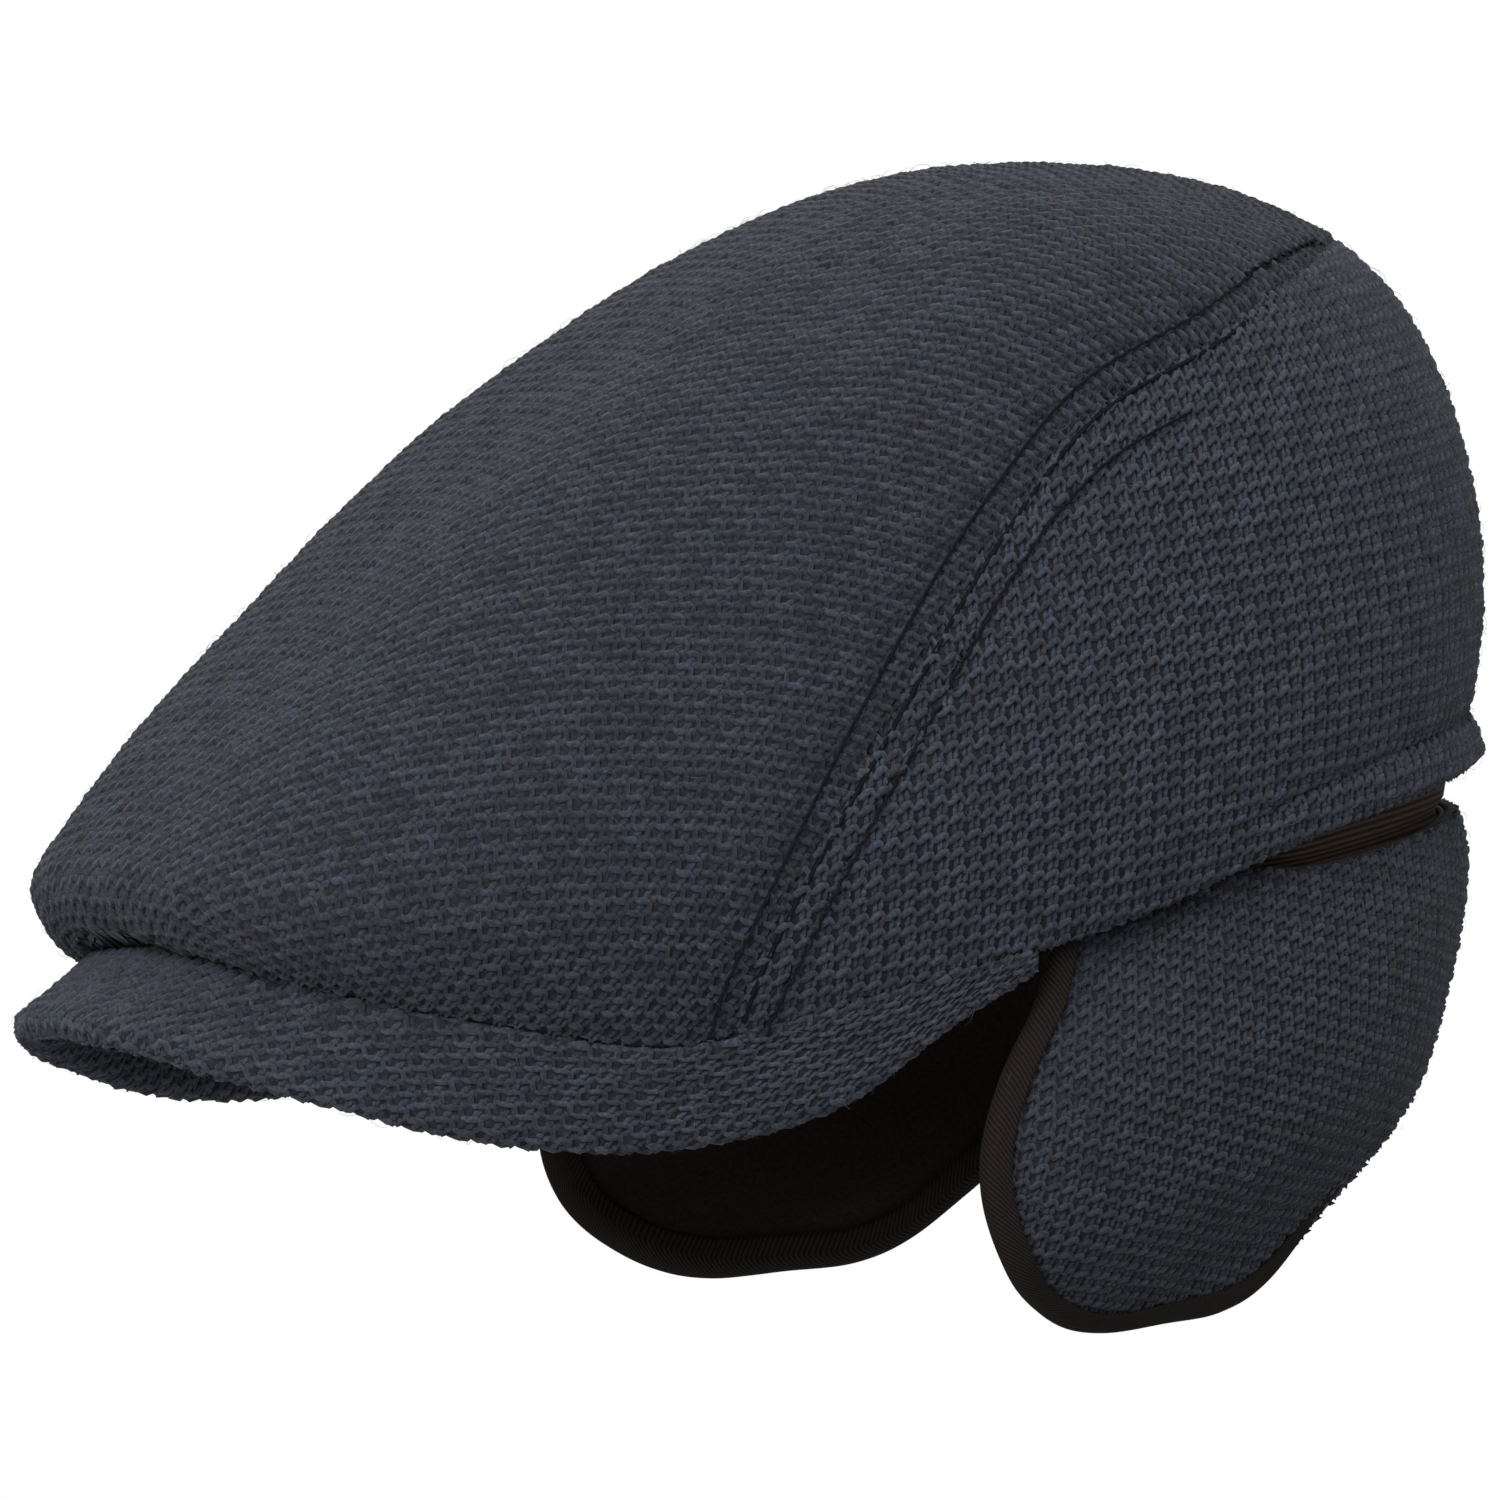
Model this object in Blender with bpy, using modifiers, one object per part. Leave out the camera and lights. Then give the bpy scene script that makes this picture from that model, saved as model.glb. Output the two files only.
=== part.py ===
"""A knitted flat cap whose ear and neck flap is turned down.

The wearer faces -Y, the wearer's left is +X and up is +Z. The origin lies in the head
opening, midway between the temples, and lengths are in metres. A turn is an angle round
the head, in degrees from the front, and the tables hold shares of the sizes named first.
"""

import math

import bpy
from mathutils import Vector

COLLECTION = "knitted_flat_cap"

# The head opening, measured inside the crown's hem.
HEAD_HALF_WIDTH = 0.079
HEAD_FRONT = 0.095
HEAD_BACK = 0.108
HEAD_SQUARENESS = 2.1

# The crown.
CROWN_HEIGHT = 0.1185
CROWN_TOP_BACK = 0.028
CROWN_OVERHANG = 0.050
CROWN_SQUARENESS = 3.0
CROWN_WALL = 0.0025
HEM_DROP = 0.031
SEAM_GAP = 0.0004
SEAM_TIP = 0.15

# The peak.
PEAK_HALF_WIDTH = 0.083
PEAK_REACH = 0.165
PEAK_SQUARENESS = 2.4
PEAK_DROP = 0.049
PEAK_THICKNESS = 0.005
PEAK_END_TURN = 79.0
PEAK_END_SHARE = 0.35
PEAK_TAPER_TURN = 50.0
PEAK_LEAN = 0.0012
PEAK_SLOPE = 0.22
PEAK_SEAT_GAP = 0.0004

# The ear and neck flap.
FLAP_DROP = 0.081
FLAP_WALL = 0.0022
LINING_WALL = 0.001
LAYER_GAP = 0.0003
FLAP_LAP = 0.009
BINDING_WIDTH = 0.0048
BINDING_WALL = 0.0007
BINDING_GAP = 0.0005
TAPE_WALL = 0.001
TAPE_LAP = 0.004
TAPE_RISE = 0.0015
TAPE_START = 5.0

# Grid counts.
TOP_COLUMNS = 20
TOP_ROWS = 8
SIDE_ROWS = 8
FLAP_COLUMNS = 28
FLAP_ROWS = 7
PEAK_INNER_ROWS = 3
PEAK_OUTER_ROWS = 2
SEAM_SAMPLES = 200

# Height of the crown's hem round the head, in shares of HEM_DROP.
HEM_LINE = [
    {"turn": 0, "height": -0.45},
    {"turn": 10, "height": -0.51},
    {"turn": 20, "height": -0.66},
    {"turn": 30, "height": -0.84},
    {"turn": 41, "height": -0.98},
    {"turn": 50, "height": -0.86},
    {"turn": 62, "height": -0.68},
    {"turn": 80, "height": -0.47},
    {"turn": 95, "height": -0.27},
    {"turn": 108, "height": -0.06},
    {"turn": 120, "height": 0.13},
    {"turn": 140, "height": 0.34},
    {"turn": 160, "height": 0.48},
    {"turn": 180, "height": 0.52},
]

# The crown's wall from its top (way 0) to its hem (way 1): how far out it stands, as a
# share of the way from the top to the hem in plan, and how high, as a share of the rise.
CROWN_WALL_LINE = [
    {"way": 0.0, "front_out": 0.000, "front_up": 1.000, "side_out": 0.000, "side_up": 1.000,
     "back_out": 0.000, "back_up": 1.000},
    {"way": 0.1, "front_out": 0.164, "front_up": 0.973, "side_out": 0.238, "side_up": 0.989,
     "back_out": 0.240, "back_up": 0.985},
    {"way": 0.2, "front_out": 0.337, "front_up": 0.882, "side_out": 0.476, "side_up": 0.956,
     "back_out": 0.485, "back_up": 0.942},
    {"way": 0.3, "front_out": 0.508, "front_up": 0.740, "side_out": 0.690, "side_up": 0.897,
     "back_out": 0.680, "back_up": 0.868},
    {"way": 0.4, "front_out": 0.668, "front_up": 0.580, "side_out": 0.857, "side_up": 0.810,
     "back_out": 0.828, "back_up": 0.750},
    {"way": 0.5, "front_out": 0.818, "front_up": 0.398, "side_out": 0.976, "side_up": 0.684,
     "back_out": 0.932, "back_up": 0.590},
    {"way": 0.6, "front_out": 0.940, "front_up": 0.240, "side_out": 1.048, "side_up": 0.537,
     "back_out": 0.988, "back_up": 0.425},
    {"way": 0.7, "front_out": 1.015, "front_up": 0.128, "side_out": 1.083, "side_up": 0.368,
     "back_out": 1.003, "back_up": 0.270},
    {"way": 0.8, "front_out": 1.047, "front_up": 0.072, "side_out": 1.083, "side_up": 0.220,
     "back_out": 0.988, "back_up": 0.145},
    {"way": 0.9, "front_out": 1.029, "front_up": 0.022, "side_out": 1.050, "side_up": 0.096,
     "back_out": 0.972, "back_up": 0.052},
    {"way": 1.0, "front_out": 1.000, "front_up": 0.000, "side_out": 1.000, "side_up": 0.000,
     "back_out": 1.000, "back_up": 0.000},
]

# The seam between the top panel and a side panel, by its way down the crown's wall.
SEAM_LINE = [
    {"turn": 46, "way": 1.00},
    {"turn": 49, "way": 0.89},
    {"turn": 57, "way": 0.75},
    {"turn": 65, "way": 0.66},
    {"turn": 74, "way": 0.585},
    {"turn": 87, "way": 0.505},
    {"turn": 106, "way": 0.445},
    {"turn": 124, "way": 0.375},
    {"turn": 145, "way": 0.315},
    {"turn": 161, "way": 0.295},
    {"turn": 180, "way": 0.285},
]
SEAM_BACK_TURN = 150.0

# Height of the peak's edge round the head, in shares of PEAK_DROP.
PEAK_EDGE = [
    {"turn": 0, "height": -0.56},
    {"turn": 8, "height": -0.60},
    {"turn": 20, "height": -0.79},
    {"turn": 28, "height": -0.92},
    {"turn": 37, "height": -0.98},
    {"turn": 46, "height": -0.95},
    {"turn": 57, "height": -0.82},
    {"turn": 68, "height": -0.56},
    {"turn": 80, "height": -0.33},
]

# The flap's free edge, from its front top corner round the ear lobe to the back.
FLAP_EDGE = [
    {"way": 0, "turn": 83.0, "height": -0.13},
    {"way": 1, "turn": 80.0, "height": -0.30},
    {"way": 2, "turn": 74.5, "height": -0.48},
    {"way": 3, "turn": 72.5, "height": -0.63},
    {"way": 4, "turn": 73.2, "height": -0.77},
    {"way": 5, "turn": 77.0, "height": -0.90},
    {"way": 6, "turn": 83.5, "height": -0.98},
    {"way": 7, "turn": 92.0, "height": -1.01},
    {"way": 8, "turn": 103.0, "height": -1.00},
    {"way": 9, "turn": 113.0, "height": -0.98},
    {"way": 10, "turn": 121.0, "height": -0.90},
    {"way": 11, "turn": 129.0, "height": -0.75},
    {"way": 12, "turn": 139.0, "height": -0.61},
    {"way": 13, "turn": 152.0, "height": -0.50},
    {"way": 14, "turn": 166.0, "height": -0.46},
    {"way": 15, "turn": 180.0, "height": -0.45},
]

# How far the flap's top edge reaches up inside the crown, in shares of FLAP_LAP.
FLAP_TOP = [
    {"turn": 83, "lap": 1.0},
    {"turn": 100, "lap": 0.4},
    {"turn": 110, "lap": -0.1},
    {"turn": 127, "lap": -0.65},
    {"turn": 155, "lap": -0.75},
    {"turn": 180, "lap": -0.75},
]

# How far out the flap stands, by its drop below the hem in shares of FLAP_DROP.
FLAP_FLARE = [
    {"drop": -0.20, "side": 0.920, "back": 0.930},
    {"drop": 0.00, "side": 0.930, "back": 0.938},
    {"drop": 0.09, "side": 0.950, "back": 0.952},
    {"drop": 0.14, "side": 0.970, "back": 0.970},
    {"drop": 0.20, "side": 0.995, "back": 0.981},
    {"drop": 0.30, "side": 1.045, "back": 0.974},
    {"drop": 0.44, "side": 1.085, "back": 0.945},
    {"drop": 0.63, "side": 1.075, "back": 0.900},
    {"drop": 0.76, "side": 0.995, "back": 0.870},
    {"drop": 0.88, "side": 0.910, "back": 0.850},
    {"drop": 1.00, "side": 0.875, "back": 0.840},
]

# Small steps from which slopes and directions are taken.
STEP = 0.001
TURN_STEP = 0.5
EDGE_STEP = 0.05


def track(rows, key, column, at):
    """Return a column's value at a key, on a smooth curve through the table's rows."""
    last = len(rows) - 1
    low = 0
    while low < last - 1 and at > rows[low + 1][key]:
        low += 1
    high = low + 1
    span = rows[high][key] - rows[low][key]
    part = (at - rows[low][key]) / span

    def slope(row):
        before = max(row - 1, 0)
        after = min(row + 1, last)
        rise = rows[after][column] - rows[before][column]
        return rise / (rows[after][key] - rows[before][key])

    start, end = rows[low][column], rows[high][column]
    start_slope, end_slope = slope(low) * span, slope(high) * span
    cube = 2 * start - 2 * end + start_slope + end_slope
    square = -3 * start + 3 * end - 2 * start_slope - end_slope
    return ((cube * part + square) * part + start_slope) * part + start


def blend(start, end, part):
    """Return the value or point a part of the way from start to end."""
    return start + (end - start) * part


def oval_radius(turn, half_width, reach, squareness):
    """Return the distance from the origin to a squarish oval at a turn."""
    angle = math.radians(turn)
    across = abs(math.sin(angle) / half_width) ** squareness
    along = abs(math.cos(angle) / reach) ** squareness
    return (across + along) ** (-1 / squareness)


def plan_point(turn, radius, height):
    """Return the point at a turn round the head, a radius out and a height up."""
    angle = math.radians(turn)
    return Vector((radius * math.sin(angle), -radius * math.cos(angle), height))


def head_radius(turn):
    """Return the head opening's radius at a turn."""
    reach = HEAD_FRONT if turn < 90 else HEAD_BACK
    return oval_radius(turn, HEAD_HALF_WIDTH, reach, HEAD_SQUARENESS)


def hem_height(turn):
    """Return the height of the crown's hem at a turn."""
    return HEM_DROP * track(HEM_LINE, "turn", "height", turn)


def hem_point(turn):
    """Return the point of the crown's hem at a turn, on its inner face."""
    if turn < 90:
        reach = HEAD_FRONT + CROWN_OVERHANG
        radius = oval_radius(turn, HEAD_HALF_WIDTH, reach, CROWN_SQUARENESS)
    else:
        radius = head_radius(turn)
    return plan_point(turn, radius, hem_height(turn))


def crown_point(way, turn):
    """Return a point of the crown's inner face, by its way down the wall and its turn."""
    side = math.sin(math.radians(turn)) ** 2
    end = "front" if turn < 90 else "back"
    out = blend(track(CROWN_WALL_LINE, "way", end + "_out", way),
                track(CROWN_WALL_LINE, "way", "side_out", way), side)
    up = blend(track(CROWN_WALL_LINE, "way", end + "_up", way),
               track(CROWN_WALL_LINE, "way", "side_up", way), side)
    hem = hem_point(turn)
    return Vector((hem.x * out,
                   blend(CROWN_TOP_BACK, hem.y, out),
                   blend(hem.z, CROWN_HEIGHT, up)))


def crown_normal(way, turn):
    """Return the outward direction of the crown's wall at a point."""
    down = crown_point(way, turn) - crown_point(way - STEP, turn)
    back = crown_point(way, turn + TURN_STEP) - crown_point(way, turn - TURN_STEP)
    return down.cross(back).normalized()


def seam_way(turn, clearance):
    """Return the seam's way down the wall at a turn, moved down by a clearance."""
    way = track(SEAM_LINE, "turn", "way", turn)
    ahead_way = track(SEAM_LINE, "turn", "way", turn + TURN_STEP)
    behind_way = track(SEAM_LINE, "turn", "way", turn - TURN_STEP)
    ahead = crown_point(ahead_way, turn + TURN_STEP)
    behind = crown_point(behind_way, turn - TURN_STEP)
    along = (ahead - behind).normalized()
    down = (crown_point(way, turn) - crown_point(way - STEP, turn)) / STEP
    return way + clearance / down.cross(along).length


def even_turns(first, last, count):
    """Return turns that split the seam between two turns into equal lengths."""
    fine = [blend(first, last, step / SEAM_SAMPLES) for step in range(SEAM_SAMPLES + 1)]
    points = [crown_point(seam_way(turn, 0), turn) for turn in fine]
    lengths = [0.0]
    for start, end in zip(points, points[1:]):
        lengths.append(lengths[-1] + (end - start).length)
    turns = []
    place = 0
    for step in range(count + 1):
        wanted = lengths[-1] * step / count
        while place < SEAM_SAMPLES - 1 and lengths[place + 1] < wanted:
            place += 1
        part = (wanted - lengths[place]) / (lengths[place + 1] - lengths[place])
        turns.append(blend(fine[place], fine[place + 1], part))
    return turns


def sheet(name, grid, material, mirrored):
    """Make an open surface from a grid whose rows run down and whose columns run back."""
    width = len(grid[0])
    faces = []
    for row in range(len(grid) - 1):
        for column in range(width - 1):
            corner = row * width + column
            faces.append((corner, corner + width, corner + width + 1, corner + 1))
    mesh = bpy.data.meshes.new(name)
    mesh.from_pydata([point for line in grid for point in line], [], faces)
    mesh.materials.append(material)
    mesh.shade_smooth()
    piece = bpy.data.objects.new(name, mesh)
    bpy.data.collections[COLLECTION].objects.link(piece)
    if mirrored:
        mirror = piece.modifiers.new("Halves", "MIRROR")
        mirror.merge_threshold = 0.00005
    return piece


def thicken(piece, thickness, outwards):
    """Give a surface its wall, on its outer side (1) or its inner side (-1)."""
    wall = piece.modifiers.new("Wall", "SOLIDIFY")
    wall.thickness = thickness
    wall.offset = outwards
    wall.use_even_offset = True


def material(name, colour, roughness):
    """Make a plain cloth material from a linear colour."""
    cloth = bpy.data.materials.new(name)
    cloth.use_nodes = True
    shader = cloth.node_tree.nodes["Principled BSDF"]
    shader.inputs["Base Color"].default_value = (*colour, 1.0)
    shader.inputs["Roughness"].default_value = roughness
    shader.inputs["Metallic"].default_value = 0.0
    return cloth


def disk_point(way, turn):
    """Return a wall point's place on a flat disk whose middle is the crown's top."""
    angle = math.radians(turn)
    return Vector((way * math.sin(angle), -way * math.cos(angle)))


def from_disk(place):
    """Return the crown's point at a place on the flat disk."""
    turn = math.degrees(math.atan2(abs(place.x), -place.y))
    return crown_point(place.length, turn)


def build_top_panel(knit):
    """Make the top panel, from the front hem back to the seam's horseshoe."""
    half_gap = -SEAM_GAP / 2
    side = [disk_point(seam_way(turn, half_gap), turn)
            for turn in even_turns(SEAM_LINE[0]["turn"], SEAM_BACK_TURN, TOP_COLUMNS)]
    front_turn = math.degrees(math.atan2(side[0].x, -side[0].y))
    grid = []
    for row in range(TOP_ROWS + 1):
        across = row / TOP_ROWS
        front = disk_point(1.0, front_turn * across)
        back_turn = blend(180.0, SEAM_BACK_TURN, across)
        back = disk_point(seam_way(back_turn, half_gap), back_turn)
        line = []
        for column, edge in enumerate(side):
            along = column / TOP_COLUMNS
            chord = Vector((edge.x * across, edge.y))
            bow_front = front - Vector((side[0].x * across, side[0].y))
            bow_back = back - Vector((side[-1].x * across, side[-1].y))
            place = chord + bow_front * (1 - along) ** 2 + bow_back * along ** 2
            line.append(from_disk(place))
        grid.append(line)
    for point in grid[0]:
        point.x = 0.0
    panel = sheet("crown_top", grid, knit, mirrored=True)
    thicken(panel, CROWN_WALL, 1)


def side_way(row, turn):
    """Return the way down the crown's wall of a side panel's row at a turn."""
    return blend(seam_way(turn, SEAM_GAP / 2), 1.0, row / SIDE_ROWS)


def build_side_panels(knit):
    """Make the two side panels, which meet at a seam down the back."""
    turns = seam_turns()
    turns[0] = blend(turns[0], turns[1], SEAM_TIP)
    grid = []
    for row in range(SIDE_ROWS + 1):
        line = [crown_point(side_way(row, turn), turn) for turn in turns]
        line[-1].x = SEAM_GAP / 2
        grid.append(line)
    left = sheet("crown_side_left", grid, knit, mirrored=False)
    thicken(left, CROWN_WALL, 1)
    mirrored = [[Vector((-point.x, point.y, point.z)) for point in reversed(line)]
                for line in grid]
    right = sheet("crown_side_right", mirrored, knit, mirrored=False)
    thicken(right, CROWN_WALL, 1)


def seam_turns():
    """Return the turns of the crown's columns behind its front corners."""
    side = even_turns(SEAM_LINE[0]["turn"], SEAM_BACK_TURN, TOP_COLUMNS)
    back = [blend(SEAM_BACK_TURN, 180.0, step / TOP_ROWS) for step in range(1, TOP_ROWS + 1)]
    return side + back


def peak_turns():
    """Return the turns of the peak's columns, which match the hem that rests on it."""
    front = [SEAM_LINE[0]["turn"] * step / TOP_ROWS for step in range(TOP_ROWS)]
    side = [turn for turn in seam_turns() if turn < PEAK_END_TURN - 1]
    return front + side + [PEAK_END_TURN]


def peak_lines(turn):
    """Return the peak's inner edge, the seat of the hem and the outer edge at a turn."""
    seat = crown_point(1.0, turn) + crown_normal(1.0, turn) * CROWN_WALL
    seat.z -= PEAK_SEAT_GAP
    inner = plan_point(turn, head_radius(turn) - CROWN_WALL, 0.0)
    inner.z = seat.z + PEAK_SLOPE * (seat - inner).xy.length
    radius = oval_radius(turn, PEAK_HALF_WIDTH, PEAK_REACH, PEAK_SQUARENESS)
    edge = plan_point(turn, radius, PEAK_DROP * track(PEAK_EDGE, "turn", "height", turn))
    return inner, seat, edge


def peak_half(side):
    """Return the peak's lines from the middle to one end, on the left (1) or right (-1)."""
    lines = [[] for row in range(PEAK_INNER_ROWS + PEAK_OUTER_ROWS + 1)]
    for turn in peak_turns():
        inner, seat, edge = peak_lines(turn)
        edge.z -= side * PEAK_LEAN * math.sin(math.radians(turn))
        places = [blend(inner, seat, row / PEAK_INNER_ROWS) for row in range(PEAK_INNER_ROWS)]
        places += [blend(seat, edge, row / PEAK_OUTER_ROWS)
                   for row in range(PEAK_OUTER_ROWS + 1)]
        for line, place in zip(lines, places):
            line.append(Vector((side * place.x, place.y, place.z)))
    return lines


def build_peak(knit):
    """Make the peak, a board covered in knit that droops at both sides."""
    turns = peak_turns()
    grid = [right[:0:-1] + left for left, right in zip(peak_half(1), peak_half(-1))]
    board = sheet("peak", grid, knit, mirrored=False)
    group = board.vertex_groups.new(name="Board")
    for row in range(len(grid)):
        for column, turn in enumerate(turns[:0:-1] + turns):
            taper = max(0.0, turn - PEAK_TAPER_TURN) / (PEAK_END_TURN - PEAK_TAPER_TURN)
            weight = blend(1.0, PEAK_END_SHARE, taper)
            group.add([row * len(grid[0]) + column], weight, "REPLACE")
    thicken(board, PEAK_THICKNESS, -1)
    board.modifiers["Wall"].vertex_group = group.name


def flap_middle(turn, height):
    """Return a point between the flap's knit and its lining."""
    drop = (hem_height(turn) - height) / FLAP_DROP
    side = math.sin(math.radians(turn)) ** 2
    share = blend(track(FLAP_FLARE, "drop", "back", drop),
                  track(FLAP_FLARE, "drop", "side", drop), side)
    return plan_point(turn, head_radius(turn) * share, height)


def flap_point(turn, height, lift):
    """Return a point of the flap, lifted off its middle layer."""
    down = flap_middle(turn, height - STEP) - flap_middle(turn, height + STEP)
    back = flap_middle(turn + TURN_STEP, height) - flap_middle(turn - TURN_STEP, height)
    return flap_middle(turn, height) + down.cross(back).normalized() * lift


def edge_place(way):
    """Return the turn and height of the flap's free edge."""
    turn = track(FLAP_EDGE, "way", "turn", way)
    return turn, FLAP_DROP * track(FLAP_EDGE, "way", "height", way)


def edge_ways():
    """Return the ways along the free edge at which the flap's columns meet it."""
    return [FLAP_EDGE[-1]["way"] * column / FLAP_COLUMNS for column in range(FLAP_COLUMNS + 1)]


def inset_place(way, inset):
    """Return the turn and height at a distance inside the flap's free edge."""
    turn, height = edge_place(way)
    before = edge_place(way - EDGE_STEP)
    after = edge_place(way + EDGE_STEP)
    per_turn = math.radians(1) * head_radius(turn)
    run = Vector(((after[0] - before[0]) * per_turn, after[1] - before[1])).normalized()
    return turn - run.y * inset / per_turn, height + run.x * inset


def top_place(turn):
    """Return the height of the flap's top edge at a turn."""
    return hem_height(turn) + FLAP_LAP * track(FLAP_TOP, "turn", "lap", turn)


def flap_grid(lift):
    """Return half of a layer of the flap, whose last rows lie under its binding."""
    first_turn = inset_place(0, BINDING_WIDTH)[0]
    grid = [[] for row in range(FLAP_ROWS + 3)]
    for column, way in enumerate(edge_ways()):
        turn = blend(first_turn, 180.0, column / FLAP_COLUMNS)
        top = Vector((turn, top_place(turn)))
        bottom = Vector(inset_place(way, BINDING_WIDTH))
        places = [blend(top, bottom, row / FLAP_ROWS) for row in range(FLAP_ROWS + 1)]
        places.append(inset_place(way, BINDING_WIDTH / 2))
        places.append(inset_place(way, 0))
        for line, place in zip(grid, places):
            line.append(flap_point(place[0], place[1], lift))
    for line in grid:
        line[-1].x = 0.0
    return grid


def build_flap(knit, lining):
    """Make the flap's knitted outer layer and its lining."""
    outer = sheet("ear_flap", flap_grid(LAYER_GAP / 2), knit, mirrored=True)
    thicken(outer, FLAP_WALL, 1)
    inner = sheet("flap_lining", flap_grid(-LAYER_GAP / 2), lining, mirrored=True)
    thicken(inner, LINING_WALL, -1)


def build_binding(twill):
    """Make the tape that is folded over the flap's free edge."""
    outer_lift = LAYER_GAP / 2 + FLAP_WALL + BINDING_GAP
    inner_lift = -LAYER_GAP / 2 - LINING_WALL - BINDING_GAP
    stations = [(BINDING_WIDTH, outer_lift), (BINDING_WIDTH / 2, outer_lift),
                (-BINDING_GAP, outer_lift), (-BINDING_GAP, inner_lift),
                (BINDING_WIDTH / 2, inner_lift), (BINDING_WIDTH, inner_lift)]
    grid = []
    for inset, lift in stations:
        line = []
        for way in edge_ways():
            turn, height = inset_place(way, inset)
            line.append(flap_point(turn, height, lift))
        line[-1].x = 0.0
        grid.append(line)
    tape = sheet("flap_binding", grid, twill, mirrored=True)
    thicken(tape, BINDING_WALL, 1)


def tape_points(turn):
    """Return the strip's points at a turn, from the crown down behind the flap's lining."""
    points = []
    for row in (SIDE_ROWS - 2, SIDE_ROWS - 1):
        way = side_way(row, turn)
        points.append(crown_point(way, turn) - crown_normal(way, turn) * LAYER_GAP)
    lift = -LAYER_GAP / 2 - LINING_WALL - LAYER_GAP
    low = top_place(turn)
    points.append(flap_point(turn, low + TAPE_RISE, lift))
    points.append(flap_point(turn, low - TAPE_LAP, lift))
    return points


def build_tape(twill):
    """Make the strip that joins the flap to the crown and shows between them."""
    first_turn = FLAP_EDGE[0]["turn"] + TAPE_START
    columns = [tape_points(turn) for turn in seam_turns() if turn > first_turn]
    grid = [list(line) for line in zip(*columns)]
    for line in grid:
        line[-1].x = 0.0
    strip = sheet("flap_tape", grid, twill, mirrored=True)
    thicken(strip, TAPE_WALL, -1)


def main():
    """Build the whole cap."""
    for old in list(bpy.data.objects):
        bpy.data.objects.remove(old)
    collection = bpy.data.collections.new(COLLECTION)
    bpy.context.scene.collection.children.link(collection)
    knit = material("navy_knit", (0.041, 0.045, 0.058), 0.95)
    lining = material("black_lining", (0.010, 0.008, 0.007), 0.9)
    twill = material("black_twill", (0.024, 0.020, 0.019), 0.8)
    build_top_panel(knit)
    build_side_panels(knit)
    build_peak(knit)
    build_flap(knit, lining)
    build_binding(twill)
    build_tape(twill)


main()
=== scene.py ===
# %% [markdown]
# # A knitted flat cap with ear flaps
#
# The real cap is cut from a thick navy heather knit. A stiff peak carries the front of the
# crown, and one long flap goes from ear to ear round the neck, lined and bound with twill
# tape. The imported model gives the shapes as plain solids. This lesson dresses each of them:
# finer panels, real knitted stitches laid over them, tape, seams and fuzz.

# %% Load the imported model
import math

import bpy
import numpy as np
from mathutils import Matrix


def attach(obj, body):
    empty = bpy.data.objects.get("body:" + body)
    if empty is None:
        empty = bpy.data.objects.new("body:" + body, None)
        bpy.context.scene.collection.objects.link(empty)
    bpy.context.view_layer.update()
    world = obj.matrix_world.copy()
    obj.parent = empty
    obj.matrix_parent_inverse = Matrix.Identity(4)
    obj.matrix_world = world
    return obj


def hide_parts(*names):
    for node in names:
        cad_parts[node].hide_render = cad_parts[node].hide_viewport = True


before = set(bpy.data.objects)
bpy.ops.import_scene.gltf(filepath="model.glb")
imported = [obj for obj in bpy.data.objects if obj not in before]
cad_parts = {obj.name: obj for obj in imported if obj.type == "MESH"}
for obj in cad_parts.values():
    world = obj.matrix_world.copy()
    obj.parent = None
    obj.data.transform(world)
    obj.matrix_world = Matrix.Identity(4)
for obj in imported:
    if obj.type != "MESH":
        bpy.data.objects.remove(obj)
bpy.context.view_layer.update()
print("packed model:", sorted(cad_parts))


# %% Place an object
def added(name, data):
    """Put an object with this data in the scene."""
    made = bpy.data.objects.new(name, data)
    bpy.context.scene.collection.objects.link(made)
    return made


def axes_matrix(x, y, z, place):
    """Return the matrix of an object at a place, from its three axes."""
    return Matrix([[x[i], y[i], z[i], place[i]] for i in range(3)] + [[0.0, 0.0, 0.0, 1.0]])


print("scene:", bpy.context.scene.name)

# %% [markdown]
# ## The camera
#
# The photograph looks at the wearer's left side from a little in front, almost level, and
# from far away. A long lens at 2.4 m gives the same flat perspective. The camera aims at a
# point that is placed by its distances to the right and up, so the cap fills the same frame.

# %% Camera
AZIMUTH, ELEVATION = math.radians(62.0), math.radians(2.0)
DISTANCE, AIM_RIGHT, AIM_UP = 2.4, -0.0251, 0.016
LENS, SENSOR = 322.56, 36.0
right = np.array([math.cos(AZIMUTH), math.sin(AZIMUTH), 0.0])
ahead = np.array([-math.sin(AZIMUTH) * math.cos(ELEVATION),
                  math.cos(AZIMUTH) * math.cos(ELEVATION), -math.sin(ELEVATION)])
above = np.cross(right, ahead)
middle = right * AIM_RIGHT + above * AIM_UP

camera_data = bpy.data.cameras.new("photo_camera")
camera_data.lens = LENS
camera_data.sensor_width = SENSOR
camera_data.clip_end = 20.0
camera = added("photo_camera", camera_data)
eye = middle - ahead * DISTANCE
camera.matrix_world = axes_matrix(right, above, -ahead, eye)
bpy.context.scene.camera = camera
print("camera at", [round(float(value), 3) for value in eye])

# %% [markdown]
# ## The cap's own sizes
#
# The finer panels follow the same sizes and tables as the solids do, so each one lies where
# its solid lies. Lengths are in metres. A turn is an angle round the head, in degrees from
# the front, and the tables hold shares of the sizes named first.

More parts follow.
